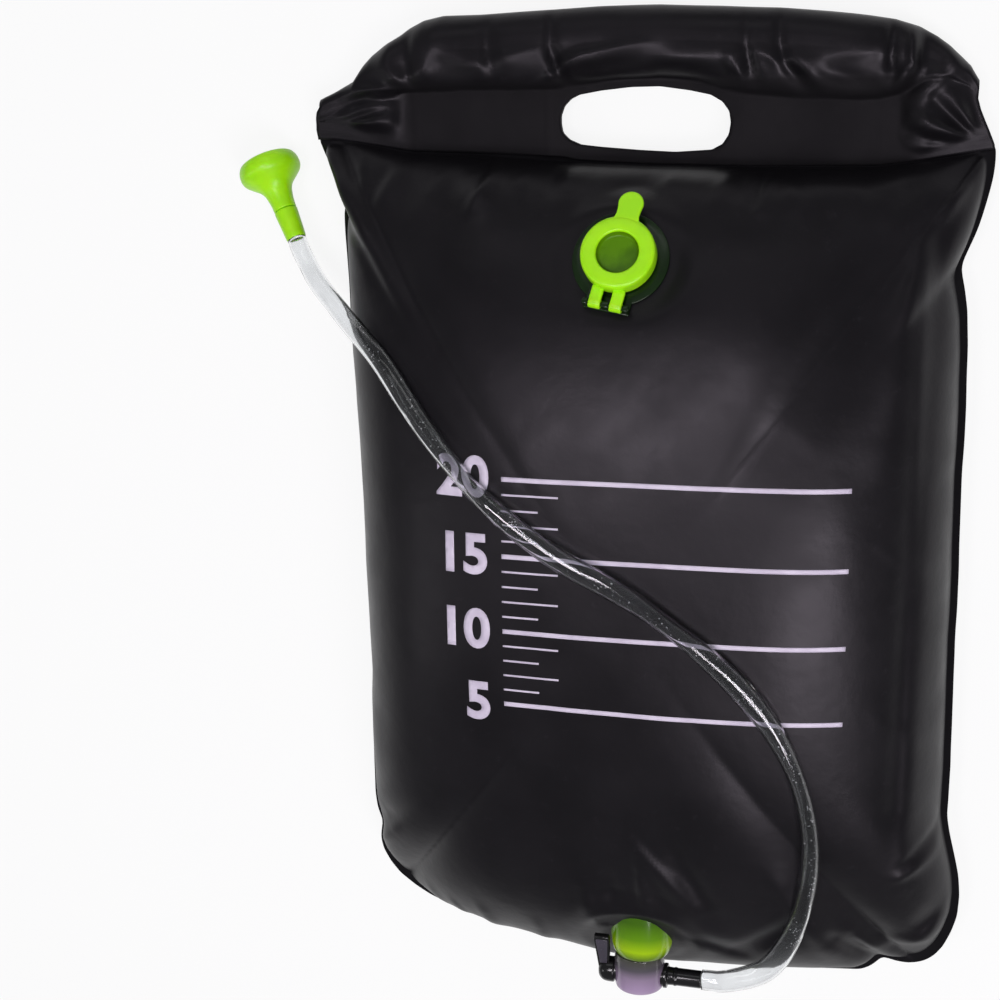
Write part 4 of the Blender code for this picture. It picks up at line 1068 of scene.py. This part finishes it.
def make_head():
    """A turned collar, shell and face along one axis, with turned nozzles on three rings of the face."""
    collar = turned([
        (3.5, 0, 0), (6.2, 0, 0.5), (6.4, 2, 1), (7, 12, 2), (7.4, 19, 0.5), (6.2, 19, 0.3),
        (6.2, 3, 0.3), (3.5, 3, 0.2), (3.5, 0, 0)], 6, 96)
    made = joined("hose_collar", [carried(collar, head_axes)], green_finish, "bag")
    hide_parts("head_collar")
    shell = turned([
        (3.5, 8, 0), (5.9, 8, 0.5), (5.9, 19.5, 0.3), (7.2, 19.8, 0.5), (7.5, 26, 5), (9.4, 34.5, 7),
        (15.8, 40.2, 5), (19.6, 44, 3.5), (19.6, 49.6, 3), (17.8, 53.4, 2.4), (16.5, 53.4, 0.3),
        (16.5, 48.8, 0.3), (14.4, 48.8, 0.4), (13, 44, 2), (6.2, 36, 4), (4.7, 27, 2), (4.7, 9.8, 0.4),
        (3.5, 9.8, 0.2), (3.5, 8, 0)], 7, 128)
    made = joined("mushroom_head", [carried(shell, head_axes)], green_finish, "spray_head")
    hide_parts("head_shell")
    face = turned([
        (0, face_crown, 0), (8, 52.2, 3), (14, 51.2, 2), (face_radius, 50.7, 0.6),
        (face_radius, 49.1, 0.3), (1.7, 49.1, 0.4), (1.7, 16.6, 0.3), (0, 16.6, 0)], 6, 96)
    shells = [carried(face, head_axes)]
    nozzle = turned([
        (0.55, 0, 0), (0.6, 1, 0.1), (1.1, 1, 0.2), (1.5, -0.4, 0.2), (0.55, -0.4, 0), (0.55, 0, 0)], 3, 20)
    for share, count in zip((0.3, 0.6, 0.86), (4, 7, 10)):
        out, up = face_radius * share, face_crown - face_fall * share**2
        for angle in np.arange(count) * math.tau / count:
            at = (out * math.cos(angle), out * math.sin(angle), up)
            shells.append(carried(nozzle, head_axes, at))
    made = joined("spray_face", shells, green_finish, "spray_head")
    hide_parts("rose_plate")


make_head()

for node in ("spout_seal", "key_seal", "spigot_seal", "stem_seal", "valve_stem"):
    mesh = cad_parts[node].data
    mesh.materials.clear()
    mesh.materials.append(black_finish if node == "valve_stem" else rubber_finish)


# Floor, light and view

def make_floor():
    """A matt floor, nearly plain white to the camera, in reflections and through clear pieces."""
    white = Finish("pale_floor", Base_Color=(0.86, 0.86, 0.87, 1), Roughness=0.75)
    camera, glossy, through = (
        white.node("LightPath", {}, "Is %s Ray" % kind) for kind in ("Camera", "Glossy", "Transmission"))
    seen = camera.math("MAXIMUM", glossy).math("MAXIMUM", through)
    glow = white.node("Emission", {"Color": (1, 1, 1, 1), "Strength": 1.0})
    matt = Value(white, white.shader.outputs[0])
    white.ends_in("Material Output", white.node("MixShader", {0: seen * 0.88, 1: matt, 2: glow}))
    half, level = 4, -0.0004
    mesh = bpy.data.meshes.new("floor")
    corners = [(-half, -half, level), (half, -half, level), (half, half, level), (-half, half, level)]
    mesh.from_pydata(corners, [], [(0, 1, 2, 3)])
    mesh.materials.append(white.material)
    floor = in_scene("floor", mesh)


def make_world():
    """White behind the part, and dim even light on it."""
    bpy.context.scene.world = bpy.data.worlds.new("studio")
    studio = Nodes(bpy.context.scene.world)
    camera = studio.node("LightPath", {}, "Is Camera Ray")
    room = studio.node("Background", {"Color": (0.95, 0.97, 1, 1), "Strength": 0.24})
    sky = studio.node("Background", {"Color": (1, 1, 1, 1), "Strength": 1.0})
    studio.ends_in("World Output", studio.node("MixShader", {0: camera, 1: room, 2: sky}))


def softbox(name, at, size, power, colour=(1, 1, 1)):
    """A rectangular lamp that faces the frame's origin."""
    light = bpy.data.lights.new(name, "AREA")
    light.shape, light.size, light.size_y = "RECTANGLE", size[0], size[1]
    light.energy, light.color = power, colour
    turn = Vector(at).to_track_quat("Z", "Y").to_matrix().to_4x4()
    in_scene(name, light).matrix_world = Matrix.Translation(at) @ turn


make_floor()
make_world()
softbox("softbox_top", (-0.2, 0.13, 1.6), (0.5, 0.25), 7, (1, 0.94, 1))
softbox("softbox_right", (0.66, -0.5, 1.5), (0.5, 0.9), 14, (1, 0.95, 1))
softbox("softbox_handle", (-0.2, 1.5, 1.1), (1.3, 0.3), 1.5)
softbox("softbox_left", (-1.5, -0.5, 1.3), (0.35, 1.0), 3)

bpy.context.scene.view_settings.view_transform = "Standard"
